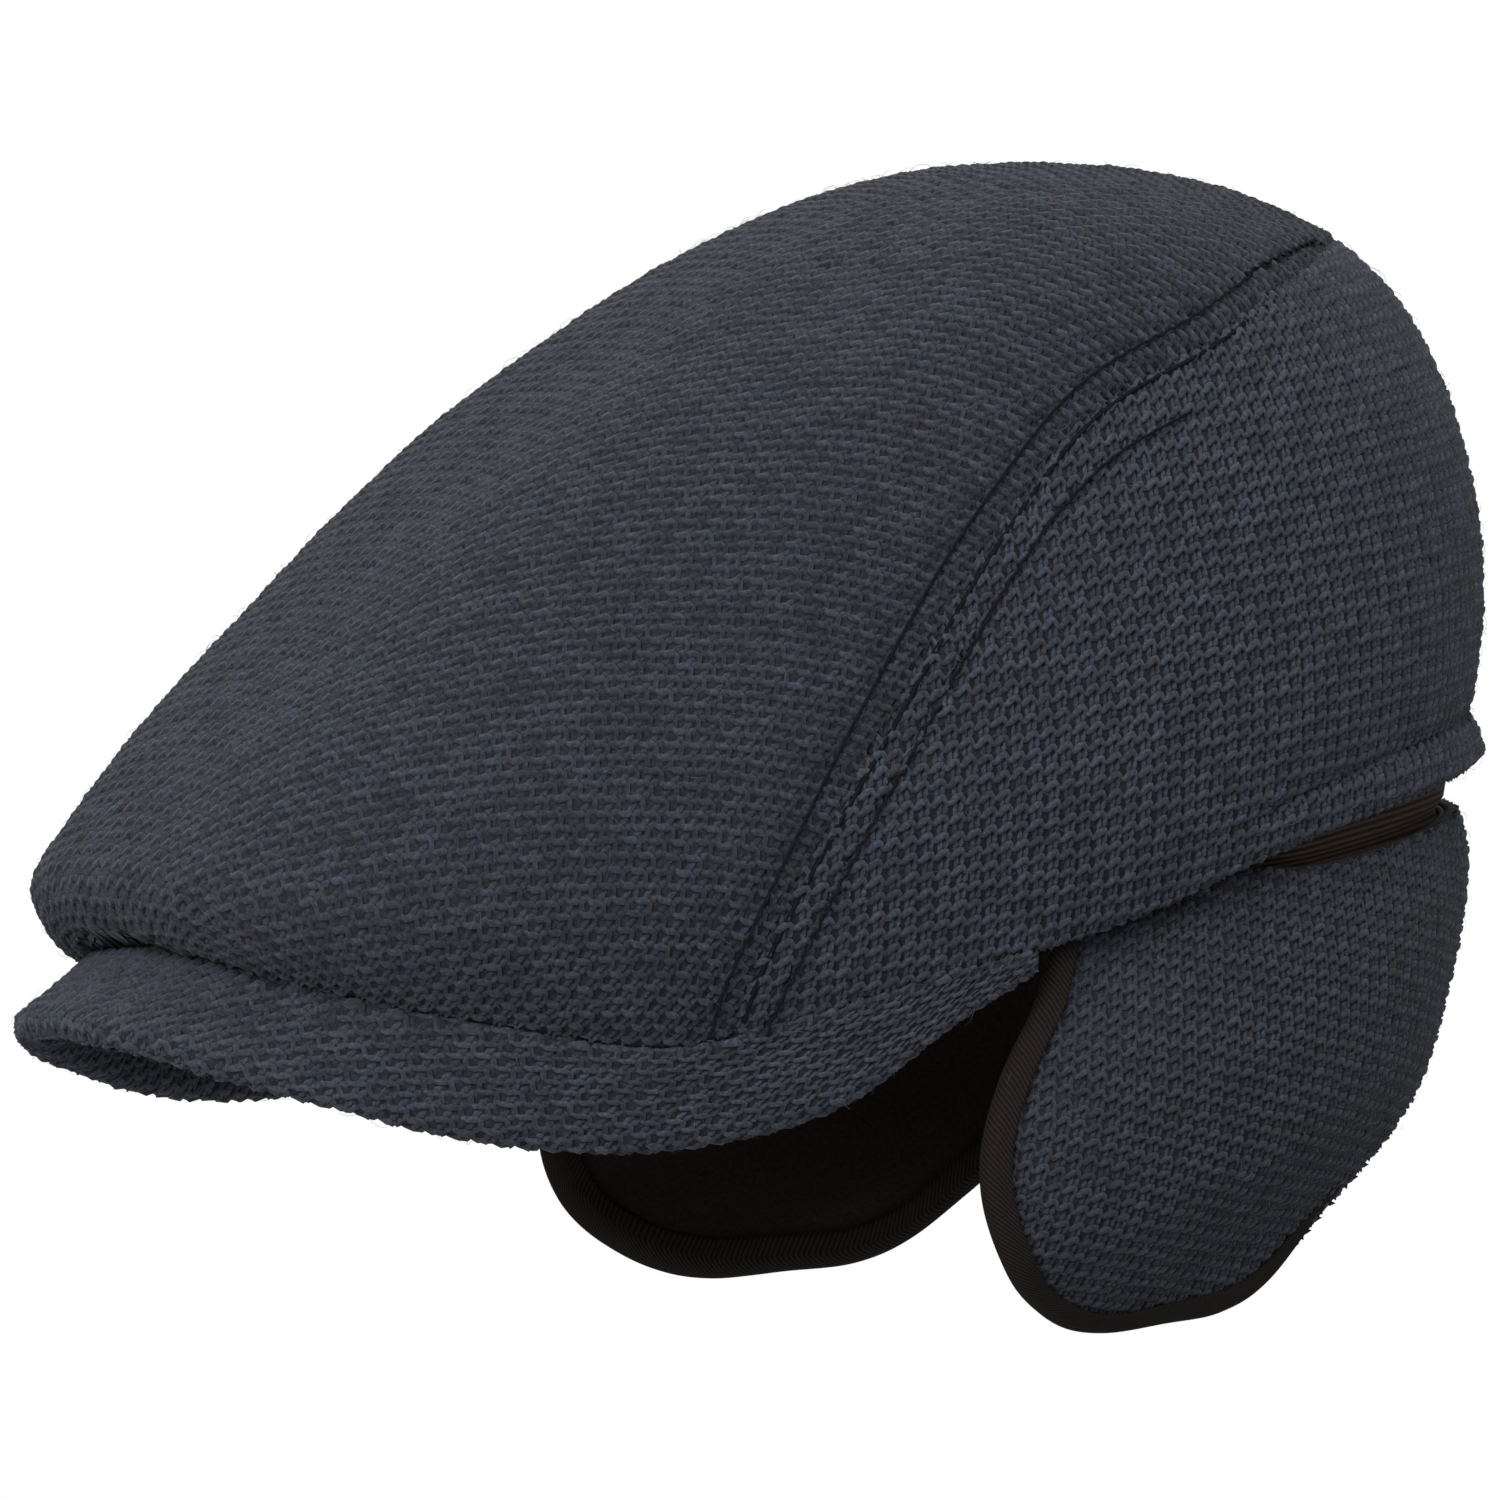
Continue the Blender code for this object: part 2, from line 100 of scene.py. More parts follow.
# %% Sizes
HEAD_HALF_WIDTH, HEAD_FRONT, HEAD_BACK, HEAD_SQUARENESS = 0.079, 0.095, 0.108, 2.1
CROWN_HEIGHT, CROWN_TOP_BACK, CROWN_OVERHANG = 0.1185, 0.028, 0.050
CROWN_SQUARENESS, CROWN_WALL, HEM_DROP = 3.0, 0.0025, 0.031
SEAM_GAP, SEAM_TIP, SEAM_START, SEAM_BACK_TURN = 0.0004, 0.15, 46.0, 150.0
PEAK_HALF_WIDTH, PEAK_REACH, PEAK_SQUARENESS = 0.083, 0.165, 2.4
PEAK_DROP, PEAK_THICKNESS, PEAK_END_TURN, PEAK_END_SHARE = 0.049, 0.005, 79.0, 0.35
PEAK_TAPER_TURN, PEAK_LEAN, PEAK_SLOPE, PEAK_SEAT_GAP = 50.0, 0.0012, 0.22, 0.0004
FLAP_DROP, FLAP_WALL, LINING_WALL, LAYER_GAP, FLAP_LAP = 0.081, 0.0022, 0.001, 0.0003, 0.009
BINDING_WIDTH, BINDING_WALL, BINDING_GAP = 0.0048, 0.0007, 0.0005
TAPE_WALL, TAPE_LAP, TAPE_RISE, TAPE_START = 0.001, 0.004, 0.0015, 88.0

# %% Tables, with the columns named in the first row
HEM_LINE = [("turn", "height"),
            (0, -0.45), (10, -0.51), (20, -0.66), (30, -0.84), (41, -0.98), (50, -0.86),
            (62, -0.68), (80, -0.47), (95, -0.27), (108, -0.06), (120, 0.13), (140, 0.34),
            (160, 0.48), (180, 0.52)]
CROWN_WALL_LINE = [("way", "front_out", "front_up", "side_out", "side_up", "back_out", "back_up"),
                   (0.0, 0.000, 1.000, 0.000, 1.000, 0.000, 1.000),
                   (0.1, 0.164, 0.973, 0.238, 0.989, 0.240, 0.985),
                   (0.2, 0.337, 0.882, 0.476, 0.956, 0.485, 0.942),
                   (0.3, 0.508, 0.740, 0.690, 0.897, 0.680, 0.868),
                   (0.4, 0.668, 0.580, 0.857, 0.810, 0.828, 0.750),
                   (0.5, 0.818, 0.398, 0.976, 0.684, 0.932, 0.590),
                   (0.6, 0.940, 0.240, 1.048, 0.537, 0.988, 0.425),
                   (0.7, 1.015, 0.128, 1.083, 0.368, 1.003, 0.270),
                   (0.8, 1.047, 0.072, 1.083, 0.220, 0.988, 0.145),
                   (0.9, 1.029, 0.022, 1.050, 0.096, 0.972, 0.052),
                   (1.0, 1.000, 0.000, 1.000, 0.000, 1.000, 0.000)]
SEAM_LINE = [("turn", "way"),
             (46, 1.00), (49, 0.89), (57, 0.75), (65, 0.66), (74, 0.585), (87, 0.505),
             (106, 0.445), (124, 0.375), (145, 0.315), (161, 0.295), (180, 0.285)]
PEAK_EDGE = [("turn", "height"),
             (0, -0.56), (8, -0.60), (20, -0.79), (28, -0.92), (37, -0.98), (46, -0.95),
             (57, -0.82), (68, -0.56), (80, -0.33)]
FLAP_EDGE = [("way", "turn", "height"),
             (0, 85.0, -0.13), (1, 81.5, -0.30), (2, 75.2, -0.48), (3, 72.5, -0.63),
             (4, 73.2, -0.77), (5, 77.0, -0.90), (6, 83.5, -0.98), (7, 92.0, -1.01),
             (8, 103.0, -1.00), (9, 113.0, -0.985), (10, 121.0, -0.935), (11, 129.0, -0.84),
             (12, 139.0, -0.70), (13, 152.0, -0.56), (14, 166.0, -0.48), (15, 180.0, -0.45)]
FLAP_TOP = [("turn", "lap"),
            (83, 1.0), (100, 0.4), (110, -0.1), (127, -0.65), (155, -0.75), (180, -0.75)]
FLAP_FLARE = [("drop", "side", "back"),
              (-0.20, 0.920, 0.930), (0.00, 0.930, 0.938), (0.09, 0.950, 0.952),
              (0.14, 0.970, 0.970), (0.20, 0.995, 0.981), (0.30, 1.045, 0.974),
              (0.44, 1.085, 0.945), (0.63, 1.075, 0.900), (0.76, 0.995, 0.870),
              (0.88, 0.910, 0.850), (1.00, 0.875, 0.840)]


# %% [markdown]
# ## Curves through the tables
#
# A smooth curve through each table's rows gives a value anywhere between them. All of the
# functions below take whole arrays of numbers, so a panel of ten thousand points is made in
# a moment.

# %% Curves and small array helpers
def track(table, column, at):
    """Return a column's values at keys, on a smooth curve through the table's rows."""
    rows = np.array(table[1:], dtype=float)
    keys, values = rows[:, 0], rows[:, table[0].index(column)]
    slopes = np.empty(len(keys))
    slopes[1:-1] = (values[2:] - values[:-2]) / (keys[2:] - keys[:-2])
    slopes[0] = (values[1] - values[0]) / (keys[1] - keys[0])
    slopes[-1] = (values[-1] - values[-2]) / (keys[-1] - keys[-2])
    at = np.asarray(at, dtype=float)
    low = np.clip(np.searchsorted(keys, at, side="left") - 1, 0, len(keys) - 2)
    span = keys[low + 1] - keys[low]
    part = (at - keys[low]) / span
    start, end = values[low], values[low + 1]
    start_slope, end_slope = slopes[low] * span, slopes[low + 1] * span
    cube = 2 * start - 2 * end + start_slope + end_slope
    square = -3 * start + 3 * end - 2 * start_slope - end_slope
    return ((cube * part + square) * part + start_slope) * part + start


def blend(start, end, part):
    """Return the values a part of the way from start to end."""
    return start + (end - start) * part


def fade(low, high, at):
    """Return 0 below low, 1 above high and a soft step between."""
    part = np.clip((at - low) / (high - low), 0.0, 1.0)
    return part * part * (3.0 - 2.0 * part)


def stack(x, y, z):
    """Return points from their coordinates."""
    return np.stack(np.broadcast_arrays(x, y, z), axis=-1)


def unit(vectors):
    """Return vectors at length one."""
    return vectors / np.maximum(np.linalg.norm(vectors, axis=-1, keepdims=True), 1e-12)


print("hem's lowest share:", float(track(HEM_LINE, "height", 41.0)))

# %% [markdown]
# ## The crown's wall
#
# A cap is worn over a head, so its forms are squarish ovals round it. A point of the crown is
# found by how far down the wall it lies, its way, and by its turn. The wall's profile blends
# between a front, a side and a back one. Sculpting could shape it too, but a formula keeps
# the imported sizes.


# %% Shape functions of the crown
def oval_radius(turn, half_width, reach, squareness):
    """Return the distance from the origin to a squarish oval."""
    angle = np.radians(turn)
    across = np.abs(np.sin(angle) / half_width) ** squareness
    along = np.abs(np.cos(angle) / reach) ** squareness
    return (across + along) ** (-1 / squareness)


def plan_point(turn, radius, height):
    """Return the points at a turn round the head, a radius out and a height up."""
    angle = np.radians(turn)
    return stack(radius * np.sin(angle), -radius * np.cos(angle), height)


def head_radius(turn):
    """Return the head opening's radius."""
    return oval_radius(turn, HEAD_HALF_WIDTH, np.where(turn < 90, HEAD_FRONT, HEAD_BACK),
                       HEAD_SQUARENESS)


def hem_height(turn):
    """Return the height of the crown's hem."""
    return HEM_DROP * track(HEM_LINE, "height", turn)


def hem_point(turn):
    """Return the points of the crown's hem, on its inner face."""
    front = oval_radius(turn, HEAD_HALF_WIDTH, HEAD_FRONT + CROWN_OVERHANG, CROWN_SQUARENESS)
    return plan_point(turn, np.where(turn < 90, front, head_radius(turn)), hem_height(turn))


def crown_point(way, turn):
    """Return points of the crown's inner face, by their way down the wall and their turn."""
    way, turn = np.broadcast_arrays(np.asarray(way, float), np.asarray(turn, float))
    side = np.sin(np.radians(turn)) ** 2

    def profile(part):
        lines = [track(CROWN_WALL_LINE, f"{end}_{part}", way) for end in ("front", "back", "side")]
        return blend(np.where(turn < 90, lines[0], lines[1]), lines[2], side)

    out, up, hem = profile("out"), profile("up"), hem_point(turn)
    return stack(hem[..., 0] * out, blend(CROWN_TOP_BACK, hem[..., 1], out),
                 blend(hem[..., 2], CROWN_HEIGHT, up))


def crown_normal(way, turn):
    """Return the outward direction of the crown's inner face."""
    down = crown_point(way, turn) - crown_point(way - 0.001, turn)
    back = crown_point(way, turn + 0.5) - crown_point(way, turn - 0.5)
    return unit(np.cross(down, back))


def seam_way(turn, clearance):
    """Return the seam's way down the wall, moved down by a clearance."""
    way = track(SEAM_LINE, "way", turn)
    along = unit(crown_point(track(SEAM_LINE, "way", turn + 0.5), turn + 0.5)
                 - crown_point(track(SEAM_LINE, "way", turn - 0.5), turn - 0.5))
    down = (crown_point(way, turn) - crown_point(way - 0.001, turn)) / 0.001
    return way + clearance / np.linalg.norm(np.cross(down, along), axis=-1)


def even_turns(first, last, count):
    """Return turns that split the seam between two turns into equal lengths."""
    fine = np.linspace(first, last, 801)
    lengths = run_lengths(crown_point(seam_way(fine, 0.0), fine), 0)
    return np.interp(np.linspace(0.0, lengths[-1], count + 1), lengths, fine)


print("crown's highest inner point is", round(float(crown_point(0.0, 0.0)[2]), 4), "m up")

# %% [markdown]
# ## Grids of points
#
# Each panel is a grid whose rows run down or out and whose columns run back, so its faces
# point outwards. The normals come from the grid itself, and the lengths along it too.


# %% Grid helpers
MIRROR = np.array([-1.0, 1.0, 1.0])


def grid_normals(grid):
    """Return the outward direction at each point of a grid."""
    return unit(np.cross(np.gradient(grid, axis=0), np.gradient(grid, axis=1)))


def run_lengths(grid, axis):
    """Return the distance along a grid's rows or columns from its first point."""
    steps = np.linalg.norm(np.diff(grid, axis=axis), axis=-1)
    return np.concatenate([np.zeros_like(np.take(grid[..., 0], [0], axis=axis)),
                           np.cumsum(steps, axis=axis)], axis=axis)


def mirrored(grid):
    """Return a grid's twin on the other side of the head, with its faces still outward."""
    return grid[:, ::-1] * MIRROR


def both_sides(half):
    """Return a whole grid from its left half, which ends at the middle of the back."""
    half[:, -1, 0] = 0.0
    return np.concatenate([half, mirrored(half)[:, 1:]], axis=1)


def dent(distance, middle_at, half_width):
    """Return a soft bump of height one, centred at a distance."""
    return np.exp(-((distance - middle_at) / half_width) ** 2)


def ripple(points, waves):
    """Return a slow unevenness over points, from given waves."""
    total = np.zeros(points.shape[:-1])
    for x, y, z, phase in waves:
        total += np.sin(points @ np.array([x, y, z]) + phase)
    return total / len(waves)


SLACK = [(61, 37, 83, 0.4), (-97, 71, 29, 1.9), (33, -109, 67, 4.1), (131, 83, -57, 2.6),
         (23, 149, 101, 5.2)]
print("slack waves:", len(SLACK))

# %% [markdown]
# ## The crown's panels
#
# The top panel runs from the front hem to the horseshoe seam, and a side panel hangs from the
# seam down to the hem. Rows that fan out from one point would crowd their faces there, so
# the top panel is laid out on a flat disk first.

# %% Crown grids
TOP_ACROSS, TOP_ALONG, SIDE_DOWN, BACK_COLUMNS = 44, 150, 60, 30


def disk_place(way, turn):
    """Return a wall point's place on a flat disk whose middle is the crown's top."""
    return np.stack(np.broadcast_arrays(way * np.sin(np.radians(turn)),
                                        -way * np.cos(np.radians(turn))), axis=-1)


def top_grid():
    """Return the inner face of the top panel, from the right seam over to the left one."""
    half_gap = -SEAM_GAP / 2
    turns = even_turns(SEAM_START, SEAM_BACK_TURN, TOP_ALONG)
    edge = disk_place(seam_way(turns, half_gap), turns)
    front_turn = math.degrees(math.atan2(edge[0, 0], -edge[0, 1]))
    across = np.linspace(0.0, 1.0, TOP_ACROSS + 1)[:, None]
    along = np.linspace(0.0, 1.0, TOP_ALONG + 1)[None, :]
    back_turn = blend(180.0, SEAM_BACK_TURN, across)
    front = disk_place(1.0, front_turn * across)
    back = disk_place(seam_way(back_turn, half_gap), back_turn)

    def chord(x, y):
        return np.stack(np.broadcast_arrays(x * across, y + 0 * across), axis=-1)

    place = (chord(*edge.T) + (front - chord(*edge[0])) * ((1 - along) ** 2)[..., None]
             + (back - chord(*edge[-1])) * (along ** 2)[..., None])
    way = np.linalg.norm(place, axis=-1)
    turn = np.degrees(np.arctan2(np.abs(place[..., 0]), -place[..., 1]))
    left = crown_point(way, turn)
    left[0, :, 0] = 0.0
    return np.concatenate([left[:0:-1] * MIRROR, left])


def side_turns():
    """Return the turns of a side panel's columns."""
    side = even_turns(SEAM_START, SEAM_BACK_TURN, TOP_ALONG)
    side[0] = blend(side[0], side[1], SEAM_TIP)
    return np.concatenate([side, np.linspace(SEAM_BACK_TURN, 180.0, BACK_COLUMNS + 1)[1:]])


def side_grid():
    """Return the inner face of the left side panel, from the seam down to the hem."""
    turns = side_turns()
    way = blend(seam_way(turns, SEAM_GAP / 2), 1.0,
                np.linspace(0.0, 1.0, SIDE_DOWN + 1)[:, None])
    grid = crown_point(way, turns[None, :] + 0 * way)
    grid[:, -1, 0] = SEAM_GAP / 2
    return grid


print("side panel columns:", len(side_turns()))

# %% [markdown]
# ## Seams and stitching pressed into the cloth
#
# Beside the seam the cloth is drawn in, and a row of topstitching presses a line into each
# panel, 6 mm away on the top and 11 mm away on the side. The hem at the back is turned up,
# which leaves a low step above it. The same places get painted shade: darker yarn there.
# A bump map could draw these lines, but moved points carry the stitches down with them.

# %% Dress the crown's panels
TOP_STITCH_AT, SIDE_STITCH_AT, HEM_STEP_AT = 0.0064, 0.0112, 0.0076
SEAM_DIP, STITCH_DIP, BACK_DIP, STEP_DIP, STEP_RISE = 0.0010, 0.0006, 0.0009, 0.0018, 0.0011
SLACK_HEIGHT, TURNED_UP, STITCHES_END = 0.0004, (92.0, 135.0), (105.0, 135.0)


def dress_top(grid):
    """Draw the top panel in along its seam and press the topstitching into it."""
    seam = run_lengths(grid, 0)
    seam = np.minimum(seam, seam[-1] - seam)
    back = run_lengths(grid, 1)
    seam = np.minimum(seam, back[:, -1:] - back)
    lift = (-SEAM_DIP * dent(seam, 0.0, 0.0014) + 0.0004 * dent(seam, 0.0033, 0.0015)
            - STITCH_DIP * dent(seam, TOP_STITCH_AT, 0.0012))
    lift = lift + SLACK_HEIGHT * ripple(grid, SLACK)
    # Painted shade: the yarn is darkened in the seam groove and the topstitching groove.
    shade = np.maximum(dent(seam, 0.0, 0.0011), 0.9 * dent(seam, TOP_STITCH_AT, 0.0009))
    return grid + grid_normals(grid) * lift[..., None], shade


def dress_side(grid):
    """Draw a side panel in along its seams and raise its turned-up hem."""
    down = run_lengths(grid, 0)
    hem = down[-1] - down
    along = run_lengths(grid, 1)
    back_seam = along[:, -1:] - along
    turned_up = fade(*TURNED_UP, side_turns())[None, :]
    stitched = 1.0 - fade(*STITCHES_END, side_turns())[None, :]
    lift = (-SEAM_DIP * dent(down, 0.0, 0.0014) - BACK_DIP * dent(back_seam, 0.0, 0.0014)
            - STITCH_DIP * stitched * dent(down, SIDE_STITCH_AT, 0.0012)
            - STEP_DIP * turned_up * dent(hem, HEM_STEP_AT, 0.0014)
            + STEP_RISE * turned_up * (1 - fade(0.0050, 0.0072, hem)))
    lift = lift + SLACK_HEIGHT * ripple(grid, SLACK)
    # Painted shade: the yarn is darkened in the seam grooves, the topstitching groove and the step
    # above the turned-up hem.
    shade = np.maximum(dent(down, 0.0, 0.0012), dent(back_seam, 0.0, 0.0012))
    shade = np.maximum(shade, 0.7 * stitched * dent(down, SIDE_STITCH_AT, 0.0009))
    shade = np.maximum(shade, 0.6 * turned_up * dent(hem, HEM_STEP_AT, 0.0012))
    return grid + grid_normals(grid) * lift[..., None], shade


top_inner, top_shade = dress_top(top_grid())
left_inner, left_shade = dress_side(side_grid())
right_inner = mirrored(left_inner)
print("top panel grid", top_inner.shape[:2], "side panel grid", left_inner.shape[:2])

# %% [markdown]
# ## The peak
#
# The peak is one board: its upper face carries the crown's hem, and the knit is pulled round
# its edge to the underside. One grid goes out, round the edge and back in, because a board
# with a separate rim would break the rows of stitches there.

# %% Peak grid
PEAK_ROUND, PEAK_IN, PEAK_OUT = 60, 8, 16


def round_edge(outer, inner, turns_in):
    """Return rows that go round a hem from its outer face and a little way up inside."""
    middle_line = (outer[-1] + inner[-1]) / 2
    radius = np.linalg.norm(outer[-1] - inner[-1], axis=-1, keepdims=True) / 2
    out = unit(outer[-1] - inner[-1])
    down = unit(outer[-1] - outer[-2])
    rows = [middle_line + (out * math.cos(angle) + down * math.sin(angle)) * radius
            for angle in np.radians([25, 50, 75, 90, 105, 130, 155])]
    return np.concatenate([outer, np.stack(rows), inner[-1:-1 - turns_in:-1]])


def peak_grid():
    """Return the peak's faces: out over the top, round the edge and back in below."""
    turn = np.linspace(-PEAK_END_TURN, PEAK_END_TURN, 2 * PEAK_ROUND + 1)
    side, turn = np.where(turn < 0, -1.0, 1.0), np.abs(turn)
    hem = crown_point(1.0, turn)
    seat = hem + crown_normal(1.0, turn) * CROWN_WALL - np.array([0, 0, PEAK_SEAT_GAP])
    inner = plan_point(turn, head_radius(turn) - CROWN_WALL, 0.0)
    inner[:, 2] = seat[:, 2] + PEAK_SLOPE * np.linalg.norm((seat - inner)[:, :2], axis=1)
    edge = plan_point(turn, oval_radius(turn, PEAK_HALF_WIDTH, PEAK_REACH, PEAK_SQUARENESS),
                      PEAK_DROP * track(PEAK_EDGE, "height", turn))
    edge[:, 2] -= side * PEAK_LEAN * np.sin(np.radians(turn))
    taper = np.clip((turn - PEAK_TAPER_TURN) / (PEAK_END_TURN - PEAK_TAPER_TURN), 0, 1)
    depth = PEAK_THICKNESS * blend(1.0, PEAK_END_SHARE, taper)
    edge = edge - unit(edge - seat) * depth[:, None] / 2
    rows = [blend(inner, seat, part) for part in np.linspace(0, 1, PEAK_IN + 1)[:-1]]
    rows += [blend(seat, edge, part) for part in np.linspace(0, 1, PEAK_OUT + 1)]
    grid = np.stack(rows)
    grid[..., 0] *= side
    under = grid - grid_normals(grid) * depth[None, :, None]
    return round_edge(grid, under, len(grid))


peak_faces = peak_grid()
print("peak grid", peak_faces.shape[:2])

# %% [markdown]
# ## The flap
#
# The flap flares out below the hem and curls in again at its lowest edge. Its layers follow
# one middle surface, each lifted off it by its own distance. At the back its top edge hangs
# a little lower than the crown's hem, so the joining strip shows above it. A cloth simulation
# could hang the flap, but tables follow the photograph more closely.

# %% Flap grid
FLAP_ROUND, FLAP_DOWN, EDGE_ROWS, FLAP_WAYS = 140, 56, 6, 15.0
FLAP_EASE, REAR_TURNS = 0.0036, (100.0, 125.0)


def flap_middle(turn, height):
    """Return points between the flap's knit and its lining."""
    drop = (hem_height(turn) - height) / FLAP_DROP
    side = np.sin(np.radians(turn)) ** 2
    share = blend(track(FLAP_FLARE, "back", drop), track(FLAP_FLARE, "side", drop), side)
    return plan_point(turn, head_radius(turn) * share, height)


def flap_point(turn, height, lift):
    """Return points of the flap, lifted off its middle layer."""
    down = flap_middle(turn, height - 0.001) - flap_middle(turn, height + 0.001)
    back = flap_middle(turn + 0.5, height) - flap_middle(turn - 0.5, height)
    lift = np.asarray(lift, float)[..., None]
    return flap_middle(turn, height) + unit(np.cross(down, back)) * lift


def edge_place(way):
    """Return the turns and heights of the flap's free edge."""
    return track(FLAP_EDGE, "turn", way), FLAP_DROP * track(FLAP_EDGE, "height", way)


def inset_place(way, inset):
    """Return the turns and heights at a distance inside the flap's free edge."""
    turn, height = edge_place(way)
    before, after = edge_place(way - 0.05), edge_place(way + 0.05)
    per_turn = math.radians(1) * head_radius(turn)
    run = unit(np.stack([(after[0] - before[0]) * per_turn, after[1] - before[1]], axis=-1))
    return turn - run[..., 1] * inset / per_turn, height + run[..., 0] * inset


def top_height(turn):
    """Return the height of the flap's top edge."""
    return hem_height(turn) + FLAP_LAP * track(FLAP_TOP, "lap", turn)


def flap_grid(lift):
    """Return a layer of the whole flap, from its left front corner round to the right one."""
    ways = np.linspace(0.0, FLAP_WAYS, FLAP_ROUND + 1)
    first_turn = float(inset_place(np.array(0.0), BINDING_WIDTH)[0])
    turn = np.linspace(first_turn, 180.0, FLAP_ROUND + 1)
    top = (turn, top_height(turn) - FLAP_EASE * fade(*REAR_TURNS, turn))
    low = inset_place(ways, BINDING_WIDTH)
    rows = [[blend(top[i], low[i], part) for i in (0, 1)]
            for part in np.linspace(0, 1, FLAP_DOWN - EDGE_ROWS + 1)]
    rows += [inset_place(ways, inset) for inset in np.linspace(BINDING_WIDTH, 0, EDGE_ROWS + 1)[1:]]
    half = np.stack([flap_point(row[0], row[1], lift + 0 * ways) for row in rows])
    return both_sides(half)


flap_outer = flap_grid(LAYER_GAP / 2)
print("flap grid", flap_outer.shape[:2])

# %% [markdown]
# ## Cloth colours as shader maths
#
# A material is written as expressions. Value wraps a socket, and each operator on it adds a
# Math node. Noise on Object coordinates gives the heather: fibres of several blues, greys
# and a few reddish ones are spun into one yarn. An image could hold these colours too, but
# noise needs no file and stays sharp close up.


# %% Add a node
def add_node(tree, kind, inputs=None, **settings):
    """Add a node with its settings, such as a ramp's stops, and link or fill its inputs."""
    node = tree.nodes.new(kind)
    for key, value in settings.items():
        if key == "stops":
            elements = node.color_ramp.elements
            while len(elements) < len(value):
                elements.new(1.0)
            for element, (place, colour) in zip(elements, value):
                element.position, element.color = place, (*colour, 1.0)
        else:
            setattr(node, key, value)
    for key, value in (inputs or {}).items():
        if isinstance(value, bpy.types.NodeSocket):
            tree.links.new(value, node.inputs[key])
        else:
            node.inputs[key].default_value = value
    return node


print("materials so far:", len(bpy.data.materials))


# %% Shader helper
class Value:
    """A shader socket that can be used in sums."""

    def __init__(self, paint, socket):
        self.paint, self.socket = paint, socket

    def _maths(self, operation, first, second):
        return self.paint.node("ShaderNodeMath", {"operation": operation},
                               {0: first, 1: second})

    def __add__(self, other):
        return self._maths("ADD", self, other)

    __radd__ = __add__

    def __mul__(self, other):
        return self._maths("MULTIPLY", self, other)

    __rmul__ = __mul__

    def __sub__(self, other):
        return self._maths("SUBTRACT", self, other)

    def __rsub__(self, other):
        return self._maths("SUBTRACT", other, self)


class Paint:
    """A material under construction."""

    def __init__(self, name, roughness, sheen=0.0, gloss=0.25, sheen_roughness=0.5):
        self.material = bpy.data.materials.new(name)
        self.material.use_nodes = True
        self.tree = self.material.node_tree
        self.shader = self.tree.nodes["Principled BSDF"]
        for key, value in (("Roughness", roughness), ("Specular IOR Level", gloss),
                           ("Sheen Weight", sheen), ("Sheen Roughness", sheen_roughness)):
            self.shader.inputs[key].default_value = value

    def node(self, kind, settings, values, output=0):
        """Add a node, with its settings first and then its sockets' values or links."""
        sockets = {key: value.socket if isinstance(value, Value) else value
                   for key, value in values.items()}
        return Value(self, add_node(self.tree, kind, sockets, **settings).outputs[output])

    def place(self):
        """Return the piece's own Object coordinates."""
        return self.node("ShaderNodeTexCoord", {}, {}, "Object")

    def noise(self, scale, detail=2.0, roughness=0.5):
        """Return noise on Object coordinates."""
        return self.node("ShaderNodeTexNoise", {}, {"Vector": self.place(), "Scale": scale,
                                                    "Detail": detail, "Roughness": roughness})

    def attribute(self, name):
        """Return one of the mesh's own attributes."""
        return self.node("ShaderNodeAttribute", {"attribute_name": name}, {}, "Fac")

    def ramp(self, value, stops):
        """Return colours from a value."""
        return self.node("ShaderNodeValToRGB", {"stops": stops}, {"Fac": value})

    def finish(self, colour, height, distance, strength):
        """Join the colour and a height for the bump to the shader."""
        bump = self.node("ShaderNodeBump", {}, {"Height": height, "Distance": distance,
                                                "Strength": strength})
        self.tree.links.new(colour.socket, self.shader.inputs["Base Color"])
        self.tree.links.new(bump.socket, self.shader.inputs["Normal"])
        return self.material


print("shader helper ready")

# %% [markdown]
# ## The cap's finishes
#
# The yarn is dark and matt with a faint sheen. Each stitch has its own tone, times its panel's
# painted light and shade, and the shade attribute darkens it beside the seams as painted shade.
# The ground below it is the same wool in shadow. The lining is a plain black cloth, and the
# tapes are brown-black twill.


# %% Knit, lining and twill
def heather(name, lift):
    """Make the spun yarn: blue-grey fibres with darker and a few reddish ones."""
    paint = Paint(name, 0.95, sheen=0.08, sheen_roughness=0.6)
    fibres = paint.noise(1500.0, 3.0, 0.65)
    blots = paint.noise(210.0, 2.0, 0.6)
    base = paint.ramp(fibres, [(place, tuple(lift * part for part in colour)) for place, colour in (
        (0.30, (0.012, 0.013, 0.0175)), (0.52, (0.0255, 0.029, 0.040)),
        (0.72, (0.045, 0.053, 0.070)))])
    warm = paint.ramp(blots, [(0.36, (0.93, 1.02, 1.12)), (0.50, (1.0, 1.0, 1.0)),
                               (0.64, (1.10, 0.99, 0.97))])
    mixed = paint.node("ShaderNodeVectorMath", {"operation": "MULTIPLY"}, {0: base, 1: warm})
    # The tone is random per stitch, times its panel's painted light and shade.
    tone = paint.attribute("tone")
    # Painted shade: the shade attribute darkens the yarn in the grooves beside the seams.
    toned = paint.node("ShaderNodeVectorMath", {"operation": "SCALE"},
                       {0: mixed, "Scale": tone * (1.0 - paint.attribute("shade") * 0.35)})
    return paint.finish(toned, fibres, 0.00035, 0.8)


def ground(name):
    """Make the knit's shaded ground, which shows between the stitches."""
    paint = Paint(name, 1.0)
    fibres = paint.noise(1300.0, 2.0, 0.6)
    colour = paint.ramp(fibres, [(0.35, (0.010, 0.010, 0.013)), (0.70, (0.026, 0.028, 0.037))])
    return paint.finish(colour, fibres, 0.0003, 0.7)


def woven(name, dark, light, scale, sheen=0.1, gloss=0.25):
    """Make a fine woven cloth."""
    paint = Paint(name, 0.9, sheen, gloss)
    threads = paint.noise(scale, 2.0, 0.6)
    return paint.finish(paint.ramp(threads, [(0.3, dark), (0.7, light)]), threads, 0.0001, 0.5)


